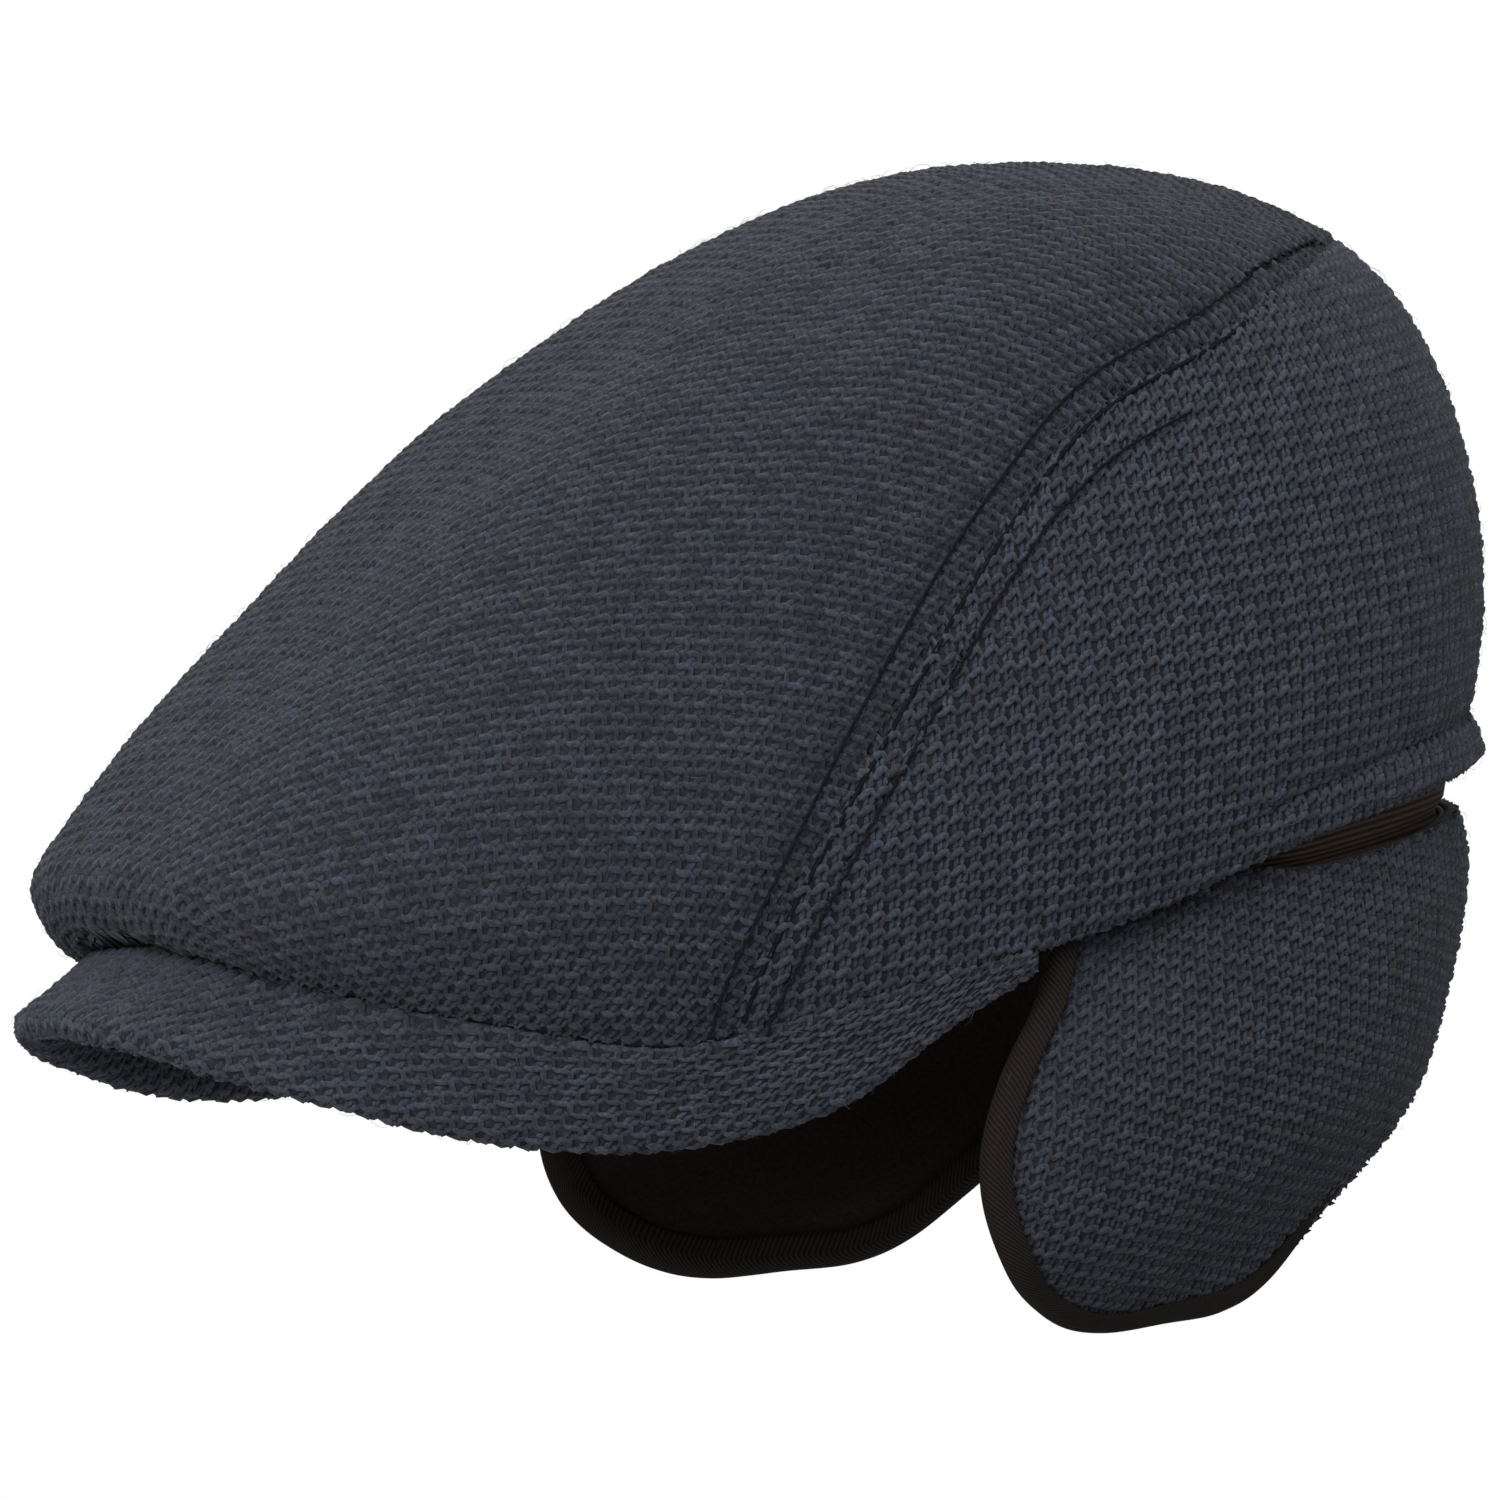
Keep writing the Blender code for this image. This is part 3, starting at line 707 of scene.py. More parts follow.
def twill(name, dark, light, ribs_along, scale):
    """Make twill tape: fine ribs, slanted or lengthwise, on a strip with a UV map in metres."""
    paint = Paint(name, 0.9, sheen=0.0, gloss=0.12)
    place = paint.node("ShaderNodeUVMap", {}, {})
    ribs = paint.node("ShaderNodeTexWave", {"wave_type": "BANDS", "bands_direction": ribs_along},
                      {"Vector": place, "Scale": scale, "Distortion": 0.6,
                       "Detail": 2.0, "Detail Scale": 3.0})
    threads = paint.noise(1800.0, 2.0, 0.6)
    height = ribs * 0.7 + threads * 0.3
    return paint.finish(paint.ramp(height, [(0.25, dark), (0.75, light)]), height, 0.0002, 0.7)


navy_yarn = heather("navy_yarn", 1.15)
loose_wool = heather("loose_wool", 2.2)
navy_ground = ground("navy_ground")
black_lining = woven("black_lining_cloth", (0.009, 0.006, 0.005), (0.020, 0.013, 0.011), 1500.0,
                     sheen=0.02, gloss=0.12)
binding_twill = twill("binding_twill", (0.005, 0.0036, 0.0032), (0.0165, 0.0125, 0.0115),
                      "DIAGONAL", 620.0)
tape_twill = twill("tape_twill", (0.014, 0.0095, 0.006), (0.060, 0.042, 0.028), "Y", 240.0)
print("materials:", navy_yarn.name, navy_ground.name, black_lining.name, binding_twill.name)


# %% [markdown]
# ## The panels as pieces
#
# Each grid becomes a mesh, gets its wall from Solidify and takes the place of its solid. The
# wall is thinner than the solid's by the yarn's depth, which the stitches fill. The cloth
# panels' flat size and area are printed too.

# %% Panel helpers
YARN_DEPTH = 0.0006


def sheet(name, grid, material, uv=None):
    """Make an open surface from a grid whose rows run down and whose columns run back."""
    rows, columns = grid.shape[:2]
    corner = (np.arange(rows - 1)[:, None] * columns + np.arange(columns - 1)[None, :]).ravel()
    faces = np.stack([corner, corner + columns, corner + columns + 1, corner + 1], axis=1)
    mesh = bpy.data.meshes.new(name)
    mesh.from_pydata(grid.reshape(-1, 3).tolist(), [], faces.tolist())
    mesh.materials.append(material)
    mesh.shade_smooth()
    if uv is not None:
        layer = mesh.uv_layers.new(name="cloth")
        layer.data.foreach_set("uv", uv.reshape(-1, 2)[faces.ravel()].astype(np.float32).ravel())
    return added(name, mesh)


def thicken(piece, thickness, offset):
    """Give a surface its wall on one side."""
    wall = piece.modifiers.new("Wall", "SOLIDIFY")
    wall.thickness = thickness
    wall.offset = offset


def seat(piece, slot, *nodes):
    """Let a piece ride with the cap and stand for a solid. The slot is not used."""
    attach(piece, "root")
    if nodes:
        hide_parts(*nodes)
    return piece


def declare_cloth(piece, grid, held):
    """Print a panel's flat width, length and area, from its grid."""
    width = float(run_lengths(grid, 0)[-1].max())
    length = float(run_lengths(grid, 1)[:, -1].max())
    corners = np.cross(grid[1:, 1:] - grid[:-1, :-1], grid[1:, :-1] - grid[:-1, 1:])
    area = float(np.linalg.norm(corners, axis=-1).sum() / 2)
    print(piece.name, "flat:", round(width, 3), "by", round(length, 3), "m,", round(area, 4), "m2")


print("panel helpers ready")

# %% Build the panels
flap_inner = flap_grid(-LAYER_GAP / 2)
for name, grid, finish, wall, side, slot, held in (
        ("crown_top", top_inner, navy_ground, CROWN_WALL - YARN_DEPTH, 1.0, "navy_knit", "stretched"),
        ("crown_side_left", left_inner, navy_ground, CROWN_WALL - YARN_DEPTH, 1.0, "navy_knit",
         "stretched"),
        ("crown_side_right", right_inner, navy_ground, CROWN_WALL - YARN_DEPTH, 1.0, "navy_knit",
         "stretched"),
        ("ear_flap", flap_outer, navy_ground, FLAP_WALL - YARN_DEPTH, 1.0, "navy_knit", "hung"),
        ("flap_lining", flap_inner, black_lining, LINING_WALL, -1.0, "black_lining", "hung")):
    panel = sheet(name + "_cloth", grid[:, ::2], finish)
    thicken(panel, wall, side)
    seat(panel, slot, name)
    declare_cloth(panel, grid, held)
board = sheet("peak_cloth", np.concatenate([peak_faces, peak_faces[:1]]), navy_ground)
seat(board, "navy_knit", "peak")
print("panels made")


# %% [markdown]
# ## Binding and joining strip
#
# The binding is folded over the flap's free edge, and the knit hangs over it at the back.
# The strip joins the flap to the inside of the crown, and shows as a dark brown line between
# them at the back. A bevelled curve could make both, but a grid along the edge also gives a
# UV map in metres, which keeps the twill's ribs at one width.

# %% Binding and strip
BINDING_TUCK, BINDING_LAP, BINDING_REAR_LIFT = 0.0014, 0.0036, 0.0011
STRIP_BACK_LIFT, STRIP_STEP, REAR_WAYS = 0.0012, 0.001, (9.5, 12.5)


def metric_uv(grid):
    """Return a UV map in metres, from lengths along the rows and down the columns."""
    return np.stack([run_lengths(grid, 1), run_lengths(grid, 0)], axis=-1)


def binding_grid():
    """Return the binding's inner face, round the edge, which tucks it in at the back."""
    ways = np.linspace(0.0, FLAP_WAYS, 2 * FLAP_ROUND + 1)
    rear = fade(*REAR_WAYS, ways)
    outer_lift = blend(LAYER_GAP / 2 + FLAP_WALL + BINDING_GAP, BINDING_REAR_LIFT, rear)
    inner_lift = -LAYER_GAP / 2 - LINING_WALL - BINDING_GAP
    middle_lift, half = (outer_lift + inner_lift) / 2, (outer_lift - inner_lift) / 2
    stations = [(inset, outer_lift) for inset in np.linspace(BINDING_LAP, half * 0.6, 5)]
    for angle in np.radians(np.linspace(15, 165, 7)):
        stations.append((half * 0.6 - (half * 0.6 + BINDING_GAP) * math.sin(angle),
                         middle_lift + half * math.cos(angle)))
    stations += [(inset, inner_lift) for inset in np.linspace(half * 0.6, BINDING_WIDTH, 5)]
    rows = []
    for inset, lift in stations:
        turn, height = inset_place(ways, inset + BINDING_TUCK * rear)
        rows.append(flap_point(turn, height, lift + 0 * ways))
    return both_sides(np.stack(rows))


def tape_grid():
    """Return the joining strip's outer face, from the crown down behind the lining."""
    turns = side_turns()
    turns = turns[turns > TAPE_START]
    points = []
    for part in (0.75, 0.81, 0.875):
        way = blend(seam_way(turns, SEAM_GAP / 2), 1.0, part)
        points.append(crown_point(way, turns) - crown_normal(way, turns) * LAYER_GAP)
    rear = fade(*REAR_TURNS, turns)
    low = top_height(turns) - FLAP_EASE * rear
    behind = -LAYER_GAP / 2 - LINING_WALL - LAYER_GAP
    end = flap_point(turns, low + TAPE_RISE + STRIP_STEP, blend(behind, STRIP_BACK_LIFT, rear))
    for part in (0.25, 0.5, 0.75, 1.0):
        points.append(blend(points[2], end, part))
    points.append(flap_point(turns, low + STRIP_STEP, behind + 0 * turns))
    points.append(flap_point(turns, low - TAPE_LAP, behind + 0 * turns))
    return both_sides(np.stack(points))


for name, grid, finish, wall, side, node in (
        ("flap_binding_tape", binding_grid(), binding_twill, BINDING_WALL, 1.0, "flap_binding"),
        ("flap_joining_tape", tape_grid(), tape_twill, TAPE_WALL, -1.0, "flap_tape")):
    tape = sheet(name, grid, finish, metric_uv(grid))
    thicken(tape, wall, side)
    seat(tape, "black_twill", node)
print("binding and joining strip made")

# %% [markdown]
# ## Laying the knit
#
# Knitted cloth keeps its own rows and columns of stitches when it bends over a form. For
# each point of a grid a direction is chosen that the columns should follow. Least squares
# then finds the flat cloth coordinates whose steps match the real steps best, so the
# stitches keep one size all over.


# %% Lay flat cloth over a grid
def lay_cloth(grid, along, rounds=900):
    """Return cloth coordinates in metres, across and along a chosen direction."""
    normal = grid_normals(grid)
    along = unit(along - normal * np.sum(along * normal, axis=-1, keepdims=True))
    across = np.cross(along, normal)
    step_sizes = [np.linalg.norm(np.gradient(grid, axis=axis), axis=-1) for axis in (0, 1)]
    wanted, weights = [], []
    for axis in (0, 1):
        size = grid.shape[axis]
        first, second = range(size - 1), range(1, size)
        step = np.diff(grid, axis=axis)

        def halfway(values):
            return (np.take(values, first, axis) + np.take(values, second, axis)) / 2

        wanted.append(np.stack([np.sum(step * halfway(across), axis=-1),
                                np.sum(step * halfway(along), axis=-1)], axis=-1))
        weights.append((halfway(step_sizes[1 - axis]) / halfway(step_sizes[axis]))[..., None])

    def gather(steps, sign=-1.0):
        down_steps, side_steps = (step * weight for step, weight in zip(steps, weights))
        total = np.zeros(grid.shape[:2] + down_steps.shape[2:])
        total[1:] += down_steps
        total[:-1] += sign * down_steps
        total[:, 1:] += side_steps
        total[:, :-1] += sign * side_steps
        return total

    scale = gather([np.ones_like(weight) for weight in weights], 1.0)
    place = np.zeros(grid.shape[:2] + (2,))
    rest = gather(wanted)
    way = rest / scale
    size = np.sum(rest * way)
    for _ in range(rounds):
        pull = gather([np.diff(way, axis=axis) for axis in (0, 1)])
        step = size / np.sum(way * pull)
        place += step * way
        rest -= step * pull
        new_size = np.sum(rest * rest / scale)
        way = rest / scale + way * (new_size / size)
        size = new_size
    place -= place[grid.shape[0] // 2, grid.shape[1] // 2]
    real, flat = (sum(np.linalg.norm(np.diff(points, axis=axis), axis=-1).sum() for axis in (0, 1))
                  for points in (grid, place))
    print("cloth laid, eased by", round(float(real / flat), 3))
    return place * (real / flat)


def inside_border(cloth, spots):
    """Tell which flat spots lie inside a laid cloth's border."""
    border = np.concatenate([cloth[0], cloth[1:, -1], cloth[-1, -2::-1], cloth[-2:0:-1, 0]])
    after = np.roll(border, -1, axis=0)
    x, y = spots[:, :1], spots[:, 1:]
    crosses = (border[:, 1] > y) != (after[:, 1] > y)
    rise = np.where(after[:, 1] == border[:, 1], 1.0, after[:, 1] - border[:, 1])
    meets = border[:, 0] + (y - border[:, 1]) * (after[:, 0] - border[:, 0]) / rise
    return (crosses & (x < meets)).sum(axis=1) % 2 == 1


def carried(grid, along, last):
    """Carry a direction on past a row, at the same angle to the columns as there."""
    normal, down = grid_normals(grid), unit(np.gradient(grid, axis=0))
    side = np.cross(normal, down)
    rows = np.minimum(np.arange(len(grid)), last)
    ahead_part = np.sum(along * down, axis=-1, keepdims=True)[rows]
    side_part = np.sum(along * side, axis=-1, keepdims=True)[rows]
    return unit(down * ahead_part + side * side_part)


print("cloth helpers ready")

# %% [markdown]
# ## One stitch, many times
#
# Seen from outside, every stitch is a wave of yarn along its row and two deeper legs that
# climb to the next row. Geometry Nodes first knit a flat cloth from one small stitch. Each
# corner of that cloth then looks up its own flat place in the panel's UV map, and moves to
# that place on the panel. So the knit bends over the form and ends at the seams. A bump map
# would be lighter, but the real cap's outline is rough, and a bump leaves it smooth.

# %% The stitch and the fibre
ACROSS, ALONG, YARN_HEIGHT = 0.00315, 0.0033, 0.0033


def tube(points, radii, sides):
    """Return vertices and faces of a flattened tube of yarn, open on its hidden underside."""
    points = np.array(points, float)
    way = unit(np.gradient(points, axis=0))
    up = np.array([0.0, 0.0, 1.0])
    side = unit(np.cross(way, up))
    top = np.cross(side, way)
    angle = np.linspace(0, 2 * np.pi, sides, endpoint=False) - np.pi / 2 + np.pi / sides
    ring = (np.cos(angle)[None, :, None] * side[:, None] +
            0.8 * np.sin(angle)[None, :, None] * top[:, None])
    vertices = (points[:, None] + ring * np.array(radii)[:, None, None]).reshape(-1, 3)
    faces = []
    for row in range(len(points) - 1):
        for corner in range(row * sides, row * sides + sides - 1):
            faces.append((corner, corner + sides, corner + sides + 1, corner + 1))
    return vertices, faces


def stitch_object():
    """Make one stitch, centred on its place: the row's wave and two legs above it."""
    wave = [(-0.56, -0.24, -0.05), (-0.27, -0.20, 0.03), (0.06, 0.12, 0.13),
            (0.26, 0.18, 0.08), (0.56, -0.24, -0.05)]
    first = [(-0.12, 0.00, -0.10), (-0.02, 0.42, 0.02), (0.05, 0.86, -0.08)]
    second = [(0.20, 0.05, -0.10), (0.34, 0.50, 0.05), (0.44, 0.88, -0.08)]
    scale = np.array([ACROSS, ALONG, YARN_HEIGHT])
    parts = [tube(np.array(wave) * scale, [0.00056, 0.00072, 0.00080, 0.00070, 0.00056], 4),
             tube(np.array(first) * scale, [0.00062, 0.00080, 0.00062], 3),
             tube(np.array(second) * scale, [0.00062, 0.00080, 0.00062], 3)]
    vertices, faces = [], []
    for points, loops in parts:
        faces += [tuple(index + len(vertices) for index in loop) for loop in loops]
        vertices += points.tolist()
    mesh = bpy.data.meshes.new("one_stitch")
    mesh.from_pydata(vertices, [], faces)
    mesh.shade_smooth()
    return bpy.data.objects.new("one_stitch", mesh)


def fibre_object():
    """Make one short bent fibre."""
    points = np.array([(0, 0, 0.0004), (0.0010, 0, 0.0013), (0.0021, 0.0003, 0.0017),
                       (0.0032, 0.0009, 0.0015)])
    vertices, faces = tube(points, [0.00004, 0.00004, 0.000035, 0.00002], 3)
    mesh = bpy.data.meshes.new("one_fibre")
    mesh.from_pydata(vertices.tolist(), [], faces)
    return bpy.data.objects.new("one_fibre", mesh)


one_stitch, one_fibre = stitch_object(), fibre_object()
print("one stitch has", len(one_stitch.data.polygons), "faces")

# %% [markdown]
# ## The tree that repeats it
#
# Instance on Points places the stitch or the fibre at every spot of the flat cloth, and
# Realize Instances makes them one mesh. Sample UV Surface then finds, for each corner, the
# panel's place, outward direction and shade. Corners past the panel's border are trimmed.


# %% The tree
def repeat_tree(name):
    """Make the tree that knits a flat cloth from points and lays it over a panel."""
    tree = bpy.data.node_groups.new(name, "GeometryNodeTree")
    for socket, kind in (("Points", "Geometry"), ("Stitch", "Object"), ("Panel", "Object"),
                         ("Material", "Material")):
        tree.interface.new_socket(socket, in_out="INPUT", socket_type="NodeSocket" + kind)
    tree.interface.new_socket("Stitches", in_out="OUTPUT", socket_type="NodeSocketGeometry")

    def add(kind, inputs=None, **settings):
        return add_node(tree, kind, inputs, **settings)

    def named(attribute, kind):
        node = add("GeometryNodeInputNamedAttribute", {"Name": attribute}, data_type=kind)
        return node.outputs["Attribute"]

    start = add("NodeGroupInput").outputs
    stitch = add("GeometryNodeObjectInfo", {"Object": start["Stitch"]}).outputs["Geometry"]
    panel = add("GeometryNodeObjectInfo", {"Object": start["Panel"]}).outputs["Geometry"]
    spin = add("ShaderNodeCombineXYZ", {"Z": named("turn", "FLOAT")})
    euler = add("FunctionNodeEulerToRotation", {0: spin.outputs[0]})
    placed = add("GeometryNodeInstanceOnPoints",
                 {"Points": start["Points"], "Instance": stitch, "Rotation": euler.outputs[0],
                  "Scale": named("size", "FLOAT_VECTOR")})
    flat = add("GeometryNodeRealizeInstances", {"Geometry": placed.outputs["Instances"]})
    position, cloth = add("GeometryNodeInputPosition").outputs[0], named("cloth", "FLOAT_VECTOR")

    def looked_up(value, kind):
        return add("GeometryNodeSampleUVSurface", {0: panel, 1: value, 2: cloth, 3: position},
                   data_type=kind).outputs

    on_panel = looked_up(position, "FLOAT_VECTOR")
    outward = looked_up(named("out", "FLOAT_VECTOR"), "FLOAT_VECTOR")[0]
    shade = looked_up(named("shade", "FLOAT"), "FLOAT")[0]
    off_panel = add("FunctionNodeBooleanMath", {0: on_panel[1]}, operation="NOT")
    trim = add("GeometryNodeDeleteGeometry", {"Geometry": flat.outputs["Geometry"],
                                              "Selection": off_panel.outputs[0]}, domain="POINT")
    keep = add("GeometryNodeStoreNamedAttribute",
               {"Name": "shade", "Geometry": trim.outputs[0], "Value": shade},
               data_type="FLOAT", domain="POINT")
    height = add("ShaderNodeSeparateXYZ", {0: position}).outputs["Z"]
    lift = add("ShaderNodeVectorMath", {0: outward, "Scale": height}, operation="SCALE")
    total = add("ShaderNodeVectorMath", {0: on_panel[0], 1: lift.outputs[0]}, operation="ADD")
    move = add("GeometryNodeSetPosition", {"Geometry": keep.outputs[0],
                                           "Position": total.outputs[0]})
    dye = add("GeometryNodeSetMaterial", {"Geometry": move.outputs[0],
                                          "Material": start["Material"]})
    add("NodeGroupOutput", {0: dye.outputs["Geometry"]})
    return tree


def store(mesh, name, kind, values):
    """Keep numbers or vectors as one of the mesh's own attributes."""
    layer = mesh.attributes.new(name, kind, "POINT")
    layer.data.foreach_set("vector" if kind == "FLOAT_VECTOR" else "value",
                           values.astype(np.float32).ravel())


def repeat(name, stitch, panel, material, spots, turns, sizes, tone):
    """Run the tree on flat points and keep the result as a plain mesh."""
    mesh = bpy.data.meshes.new(name)
    mesh.from_pydata([(x, y, 0.0) for x, y in spots], [], [])
    store(mesh, "turn", "FLOAT", turns)
    store(mesh, "size", "FLOAT_VECTOR", sizes)
    store(mesh, "tone", "FLOAT", tone)
    points = added(name + "_points", mesh)
    modifier = points.modifiers.new("Stitches", "NODES")
    modifier.node_group = stitch_tree
    sockets = {item.name: item.identifier for item in stitch_tree.interface.items_tree
               if item.in_out == "INPUT"}
    for socket, value in (("Stitch", stitch), ("Panel", panel), ("Material", material)):
        modifier[sockets[socket]] = value
    graph = bpy.context.evaluated_depsgraph_get()
    made = bpy.data.meshes.new_from_object(points.evaluated_get(graph))
    made.name = name
    bpy.data.objects.remove(points)
    print(name, len(spots), "repeats,", len(made.loops) - 2 * len(made.polygons), "triangles")
    return added(name, made)


stitch_tree = repeat_tree("stitches")
print("stitch tree has", len(stitch_tree.nodes), "nodes")

# %% [markdown]
# ## Knit every panel
#
# The stitches cover the outer faces and go round the hems to the inside, as the cloth does.
# The panels differ a little in gauge, as on the real cap. Each panel's yarn is also made
# lighter or darker as a whole: painted light and shade for how the light falls on the top,
# the sides, the flap and the peak. Pitches are the widths and heights of one stitch.

# %% Knit a panel
# The last value of each panel is painted light and shade: the top and flap darker, the sides and peak
# lighter.
KNITTING = {"top": (0.0034, 0.0030, 0.85), "side": (0.0031, 0.0031, 1.12),
            "flap": (0.0028, 0.0029, 0.82), "peak": (0.0031, 0.0027, 1.06)}


def knit(names, grid, along, panel_kind, seed, shade=None, bow=0.0):
    """Lay flat knitted cloth over a grid, in one piece or in a half for each side."""
    across_pitch, along_pitch, painted_light_tint = KNITTING[panel_kind]
    cloth = lay_cloth(grid, along)
    cloth[..., 1] += bow * (np.hypot(cloth[..., 0], 0.015) - 0.015)
    panel = sheet(names[0] + "_form", grid, navy_ground, cloth)
    store(panel.data, "out", "FLOAT_VECTOR", grid_normals(grid))
    store(panel.data, "shade", "FLOAT", np.zeros(grid.shape[:2]) if shade is None else shade)
    low, high = cloth.min(axis=(0, 1)), cloth.max(axis=(0, 1))
    pitch = np.array([across_pitch, along_pitch])
    first, last = np.floor(low / pitch) - 1, np.ceil(high / pitch) + 1
    columns, rows = np.meshgrid(np.arange(first[0], last[0]), np.arange(first[1], last[1]))
    spots = np.stack([columns.ravel(), rows.ravel()], axis=1) * pitch
    near = np.zeros(len(spots), bool)
    for probe in ((0, 0), (0.6, 0), (-0.6, 0), (0, 0.9), (0.4, 0.9)):
        near |= inside_border(cloth, spots + np.array(probe) * pitch)
    spots = spots[near]
    random = np.random.default_rng(seed)
    count = len(spots)
    wobble = np.stack([np.sin(spots @ np.array([370.0, 290.0]) + 1.0)
                       + np.sin(spots @ np.array([-510.0, 450.0]) + seed),
                       np.sin(spots @ np.array([430.0, -330.0]) + 2.0)
                       + np.sin(spots @ np.array([290.0, 610.0]) + seed)], axis=1)
    laid = spots + 0.00012 * wobble + random.normal(0.0, 0.00008, (count, 2))
    sizes = np.stack([across_pitch / ACROSS * (1.0 + random.normal(0, 0.03, count)),
                      along_pitch / ALONG * (1.0 + random.normal(0, 0.05, count)),
                      1.0 + random.normal(0, 0.12, count)], axis=-1)
    turns = random.normal(0.0, 0.06, count)
    # Each stitch's tone is random, times its panel's painted light and shade.
    tone = painted_light_tint * (0.75 + 0.5 * random.random(count))
    groups = [spots[:, 0] < 0.0, spots[:, 0] >= 0.0] if len(names) > 1 else [slice(None)]
    for name, group in zip(names, groups):
        seat(repeat(name, one_stitch, panel, navy_yarn, laid[group], turns[group],
                    sizes[group], tone[group]), "navy_knit")
    count = count // 3
    chosen = spots[random.integers(0, len(spots), count)] + random.normal(0, 0.0015, (count, 2))
    sizes = np.repeat(random.uniform(0.4, 1.0, (count, 1)), 3, axis=1)
    seat(repeat(names[0] + "_fibres", one_fibre, panel, loose_wool, chosen,
                random.uniform(0, 6.28, count), sizes, random.random(count) + 0.5), "navy_knit")
    bpy.data.objects.remove(panel)


def offset(grid, distance):
    """Return a grid moved along its normals."""
    return grid + grid_normals(grid) * distance


print("gauges:", KNITTING)

# %% Knit the crown
HEM_ROWS_IN, PEAK_ROWS_IN = 4, 4
top_outer = offset(top_inner, CROWN_WALL - YARN_DEPTH)
rise = np.interp(top_outer[..., 1], (-0.12, -0.05, 0.0, 0.05, 0.1), (1.8, 0.85, 0.3, -0.3, -0.8))
along = stack(0.0 * rise, 1.0, rise)
knit(("knit_top_right", "knit_top_left"), top_outer, along, "top", 11, top_shade, bow=0.18)

left_outer = offset(left_inner, CROWN_WALL - YARN_DEPTH)
left_rows = round_edge(left_outer, left_inner, HEM_ROWS_IN)
up = np.broadcast_to(np.array([0.0, -0.12, 1.0]), left_rows.shape)
up = carried(left_rows, up, SIDE_DOWN)
shade = np.concatenate([left_shade, np.zeros((len(left_rows) - len(left_shade),
                                               left_shade.shape[1]))])
knit(("knit_side_left",), left_rows, up, "side", 13, shade)
knit(("knit_side_right",), mirrored(left_rows), mirrored(up), "side", 14, shade[:, ::-1])
print("crown knitted")

# %% Knit the flap and the peak
flap_face = offset(flap_outer, FLAP_WALL - YARN_DEPTH)
up = np.broadcast_to(np.array([0.0, 0.18, 1.0]), flap_face.shape)
knit(("knit_flap_left", "knit_flap_right"), flap_face, up, "flap", 15)

peak_rows = peak_faces[PEAK_IN - PEAK_ROWS_IN:]
turn = np.radians(np.linspace(-PEAK_END_TURN, PEAK_END_TURN, peak_rows.shape[1]))[None, :, None]
normal, down = grid_normals(peak_rows), unit(np.gradient(peak_rows, axis=0))
along = -(down * np.cos(turn) - np.cross(normal, down) * np.sin(turn))
knit(("knit_peak_right", "knit_peak_left"), peak_rows, along, "peak", 16)
print("flap and peak knitted")

# %% [markdown]
# ## Seam lines
#
# Each seam of the crown is drawn as a fine near-black thread in the groove where the two
# panels roll into it: painted shade, a dark tube standing in for the groove's shadow. A row of
# topstitching follows it on either side, and its thread dips under the knit at every stitch;
# its near-black colour is partly the thread's own and partly painted shade of its groove.
# A thread is a narrow sheet rolled into a tube, so it needs no helper of its own.

# %% Seam threads
THREAD_STEP, STITCH_LENGTH = 0.0007, 0.0034


def line_at(grid, distance, axis_end):
    """Return the points and normals of a grid at a distance in from its first or last row."""
    rows = grid[::-1] if axis_end else grid
    facing = grid_normals(grid)
    facing = facing[::-1] if axis_end else facing
    lengths = run_lengths(rows, 0)
    row = np.array([np.searchsorted(lengths[:, i], distance) for i in range(rows.shape[1])])
    row = np.clip(row, 1, len(rows) - 1)
    column = np.arange(rows.shape[1])
    before = lengths[row - 1, column]
    part = (distance - before) / (lengths[row, column] - before)
    return blend(rows[row - 1, column], rows[row, column], part[:, None]), facing[row, column]


def thread(name, points, normals, lift, dip, radius):
    """Lay a thread on a line, dipping under the cloth once in every stitch."""
    lengths = run_lengths(points, 0)
    at = np.arange(0.0, lengths[-1], THREAD_STEP)
    line, out = (np.stack([np.interp(at, lengths, values[:, i]) for i in range(3)], axis=1)
                 for values in (points, normals))
    out = unit(out)
    line = line + out * (lift + dip * np.sin(at * 2 * np.pi / STITCH_LENGTH))[:, None]
    way = unit(np.gradient(line, axis=0))
    side = np.cross(way, out)
    angle = np.linspace(0, 2 * np.pi, 5, endpoint=False)
    ring = np.cos(angle)[:, None, None] * side - np.sin(angle)[:, None, None] * out
    grid = line[None] + ring * radius
    piece = sheet(name, np.concatenate([grid, grid[:1]]), seam_shade_thread)
    return seat(piece, "navy_knit")


# Each row is a name, a grid, a distance in from its edge, a lift, a dip, a radius and the
# column where the thread stops.
# Near-black thread: in the seam it is painted shade for the groove; in the topstitching it is partly
# the thread's own dark colour and partly painted shade.
seam_shade_thread = woven("seam_shade_thread", (0.004, 0.0045, 0.006), (0.011, 0.012, 0.015), 1800.0,
                    sheen=0.0, gloss=0.05)
for side_name, turn_over in (("left", 1.0), ("right", MIRROR)):
    for part, grid, distance, lift, dip, radius, stop in (
            ("seam", top_outer, 0.0, 0.0015, 0.0, 0.00045, None),
            ("top_stitching", top_outer, TOP_STITCH_AT, 0.0013, 0.0003, 0.00032, -6),
            ("side_stitching", left_outer, SIDE_STITCH_AT, 0.0013, 0.0003, 0.00030, 104)):
        points, normals = line_at(grid, distance, grid is top_outer)
        thread(f"{part}_{side_name}", points[2:stop] * turn_over, normals[2:stop] * turn_over,
               lift, dip, radius)
print("seam threads laid")

# %% [markdown]
# ## Floor and light
#
# The cap is shown as it is worn, so it hangs above a plain pale floor in soft light. The sky
# is a grey gradient, darker below. The photograph's backdrop is pure white, so the part of
# the sky behind the cap, as seen from the photograph's side, is white too.

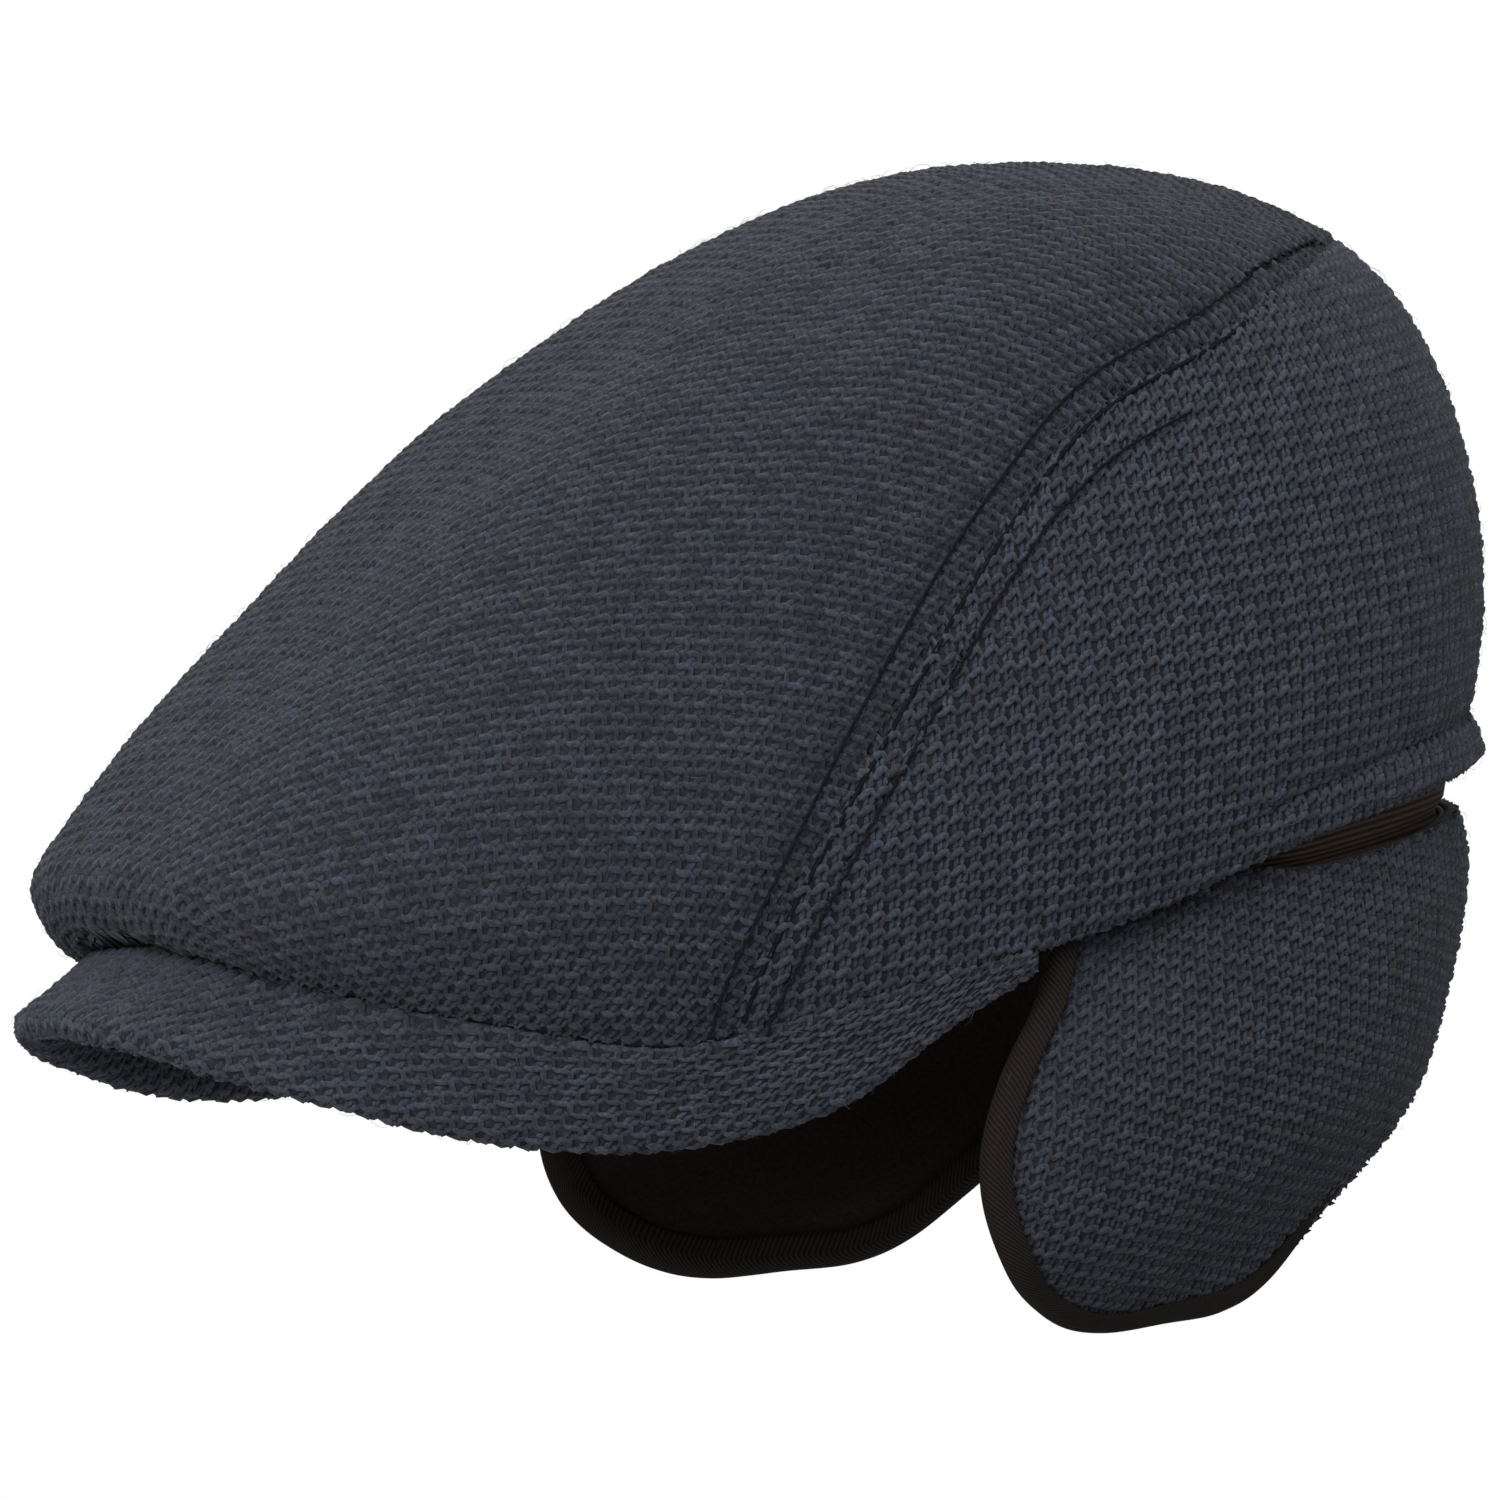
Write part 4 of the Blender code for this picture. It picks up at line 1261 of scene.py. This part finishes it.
# %% Floor
FLOOR_HALF, FLOOR_HEIGHT, FLOOR_GREY = 3.0, -0.45, 0.35
floor_mesh = bpy.data.meshes.new("floor")
floor_mesh.from_pydata([(x * FLOOR_HALF, y * FLOOR_HALF, FLOOR_HEIGHT)
                        for x, y in ((-1, -1), (1, -1), (1, 1), (-1, 1))], [], [(0, 1, 2, 3)])
floor = added("floor", floor_mesh)
floor_paint = bpy.data.materials.new("floor_paint")
floor_paint.use_nodes = True
floor_shader = floor_paint.node_tree.nodes["Principled BSDF"]
floor_shader.inputs["Base Color"].default_value = (FLOOR_GREY, FLOOR_GREY, FLOOR_GREY, 1.0)
floor_shader.inputs["Roughness"].default_value = 0.9
floor_mesh.materials.append(floor_paint)
print("floor at", FLOOR_HEIGHT, "m")

# %% Sky
world = bpy.data.worlds.new("studio")
world.use_nodes = True
tree = world.node_tree
way = add_node(tree, "ShaderNodeTexCoord").outputs["Generated"]
split = add_node(tree, "ShaderNodeSeparateXYZ", {0: way})
facing = add_node(tree, "ShaderNodeVectorMath", {0: way, 1: tuple(ahead)}, operation="DOT_PRODUCT")
height = add_node(tree, "ShaderNodeMapRange", {"Value": split.outputs["Z"], "From Min": -1.0})
sky = add_node(tree, "ShaderNodeValToRGB", {0: height.outputs[0]})
for place, grey in ((0.0, 0.15), (0.45, 0.30), (0.75, 0.35), (1.0, 0.38)):
    stop = sky.color_ramp.elements.new(place)
    stop.color = (grey, grey, grey * 1.02, 1.0)
for spare in (0, -1):
    sky.color_ramp.elements.remove(sky.color_ramp.elements[spare])
backdrop = add_node(tree, "ShaderNodeMapRange",
                    {"Value": facing.outputs["Value"], "From Min": 0.90, "From Max": 0.97})
mix = add_node(tree, "ShaderNodeMix", {0: backdrop.outputs[0], 6: sky.outputs[0],
                                       7: (1.0, 1.0, 1.0, 1.0)}, data_type="RGBA")
tree.links.new(mix.outputs[2], tree.nodes["Background"].inputs["Color"])
bpy.context.scene.world = world
bpy.context.scene.view_settings.view_transform = "Standard"
print("sky has", len(sky.color_ramp.elements), "greys")


# %% Lamps
def soft_light(name, place, size, power):
    """Add a large square lamp that faces the cap, with its width in metres and its watts."""
    lamp = bpy.data.lights.new(name, "AREA")
    lamp.size = size
    lamp.energy = power
    z = unit(np.array(place))
    x = unit(np.cross(np.array([0.0, 0.0, 1.0]), z))
    added(name, lamp).matrix_world = axes_matrix(x, np.cross(z, x), z, place)


for name, place, size, power in (
        ("key_light", (1.2, -1.5, 0.7), 1.6, 38.5), ("side_light", (0.9, 0.1, 1.5), 1.0, 5.0),
        ("back_light", (0.6, 1.5, 1.2), 1.0, 5.0), ("far_light", (-1.4, 0.8, 0.9), 1.4, 12.0)):
    soft_light(name, place, size, power)
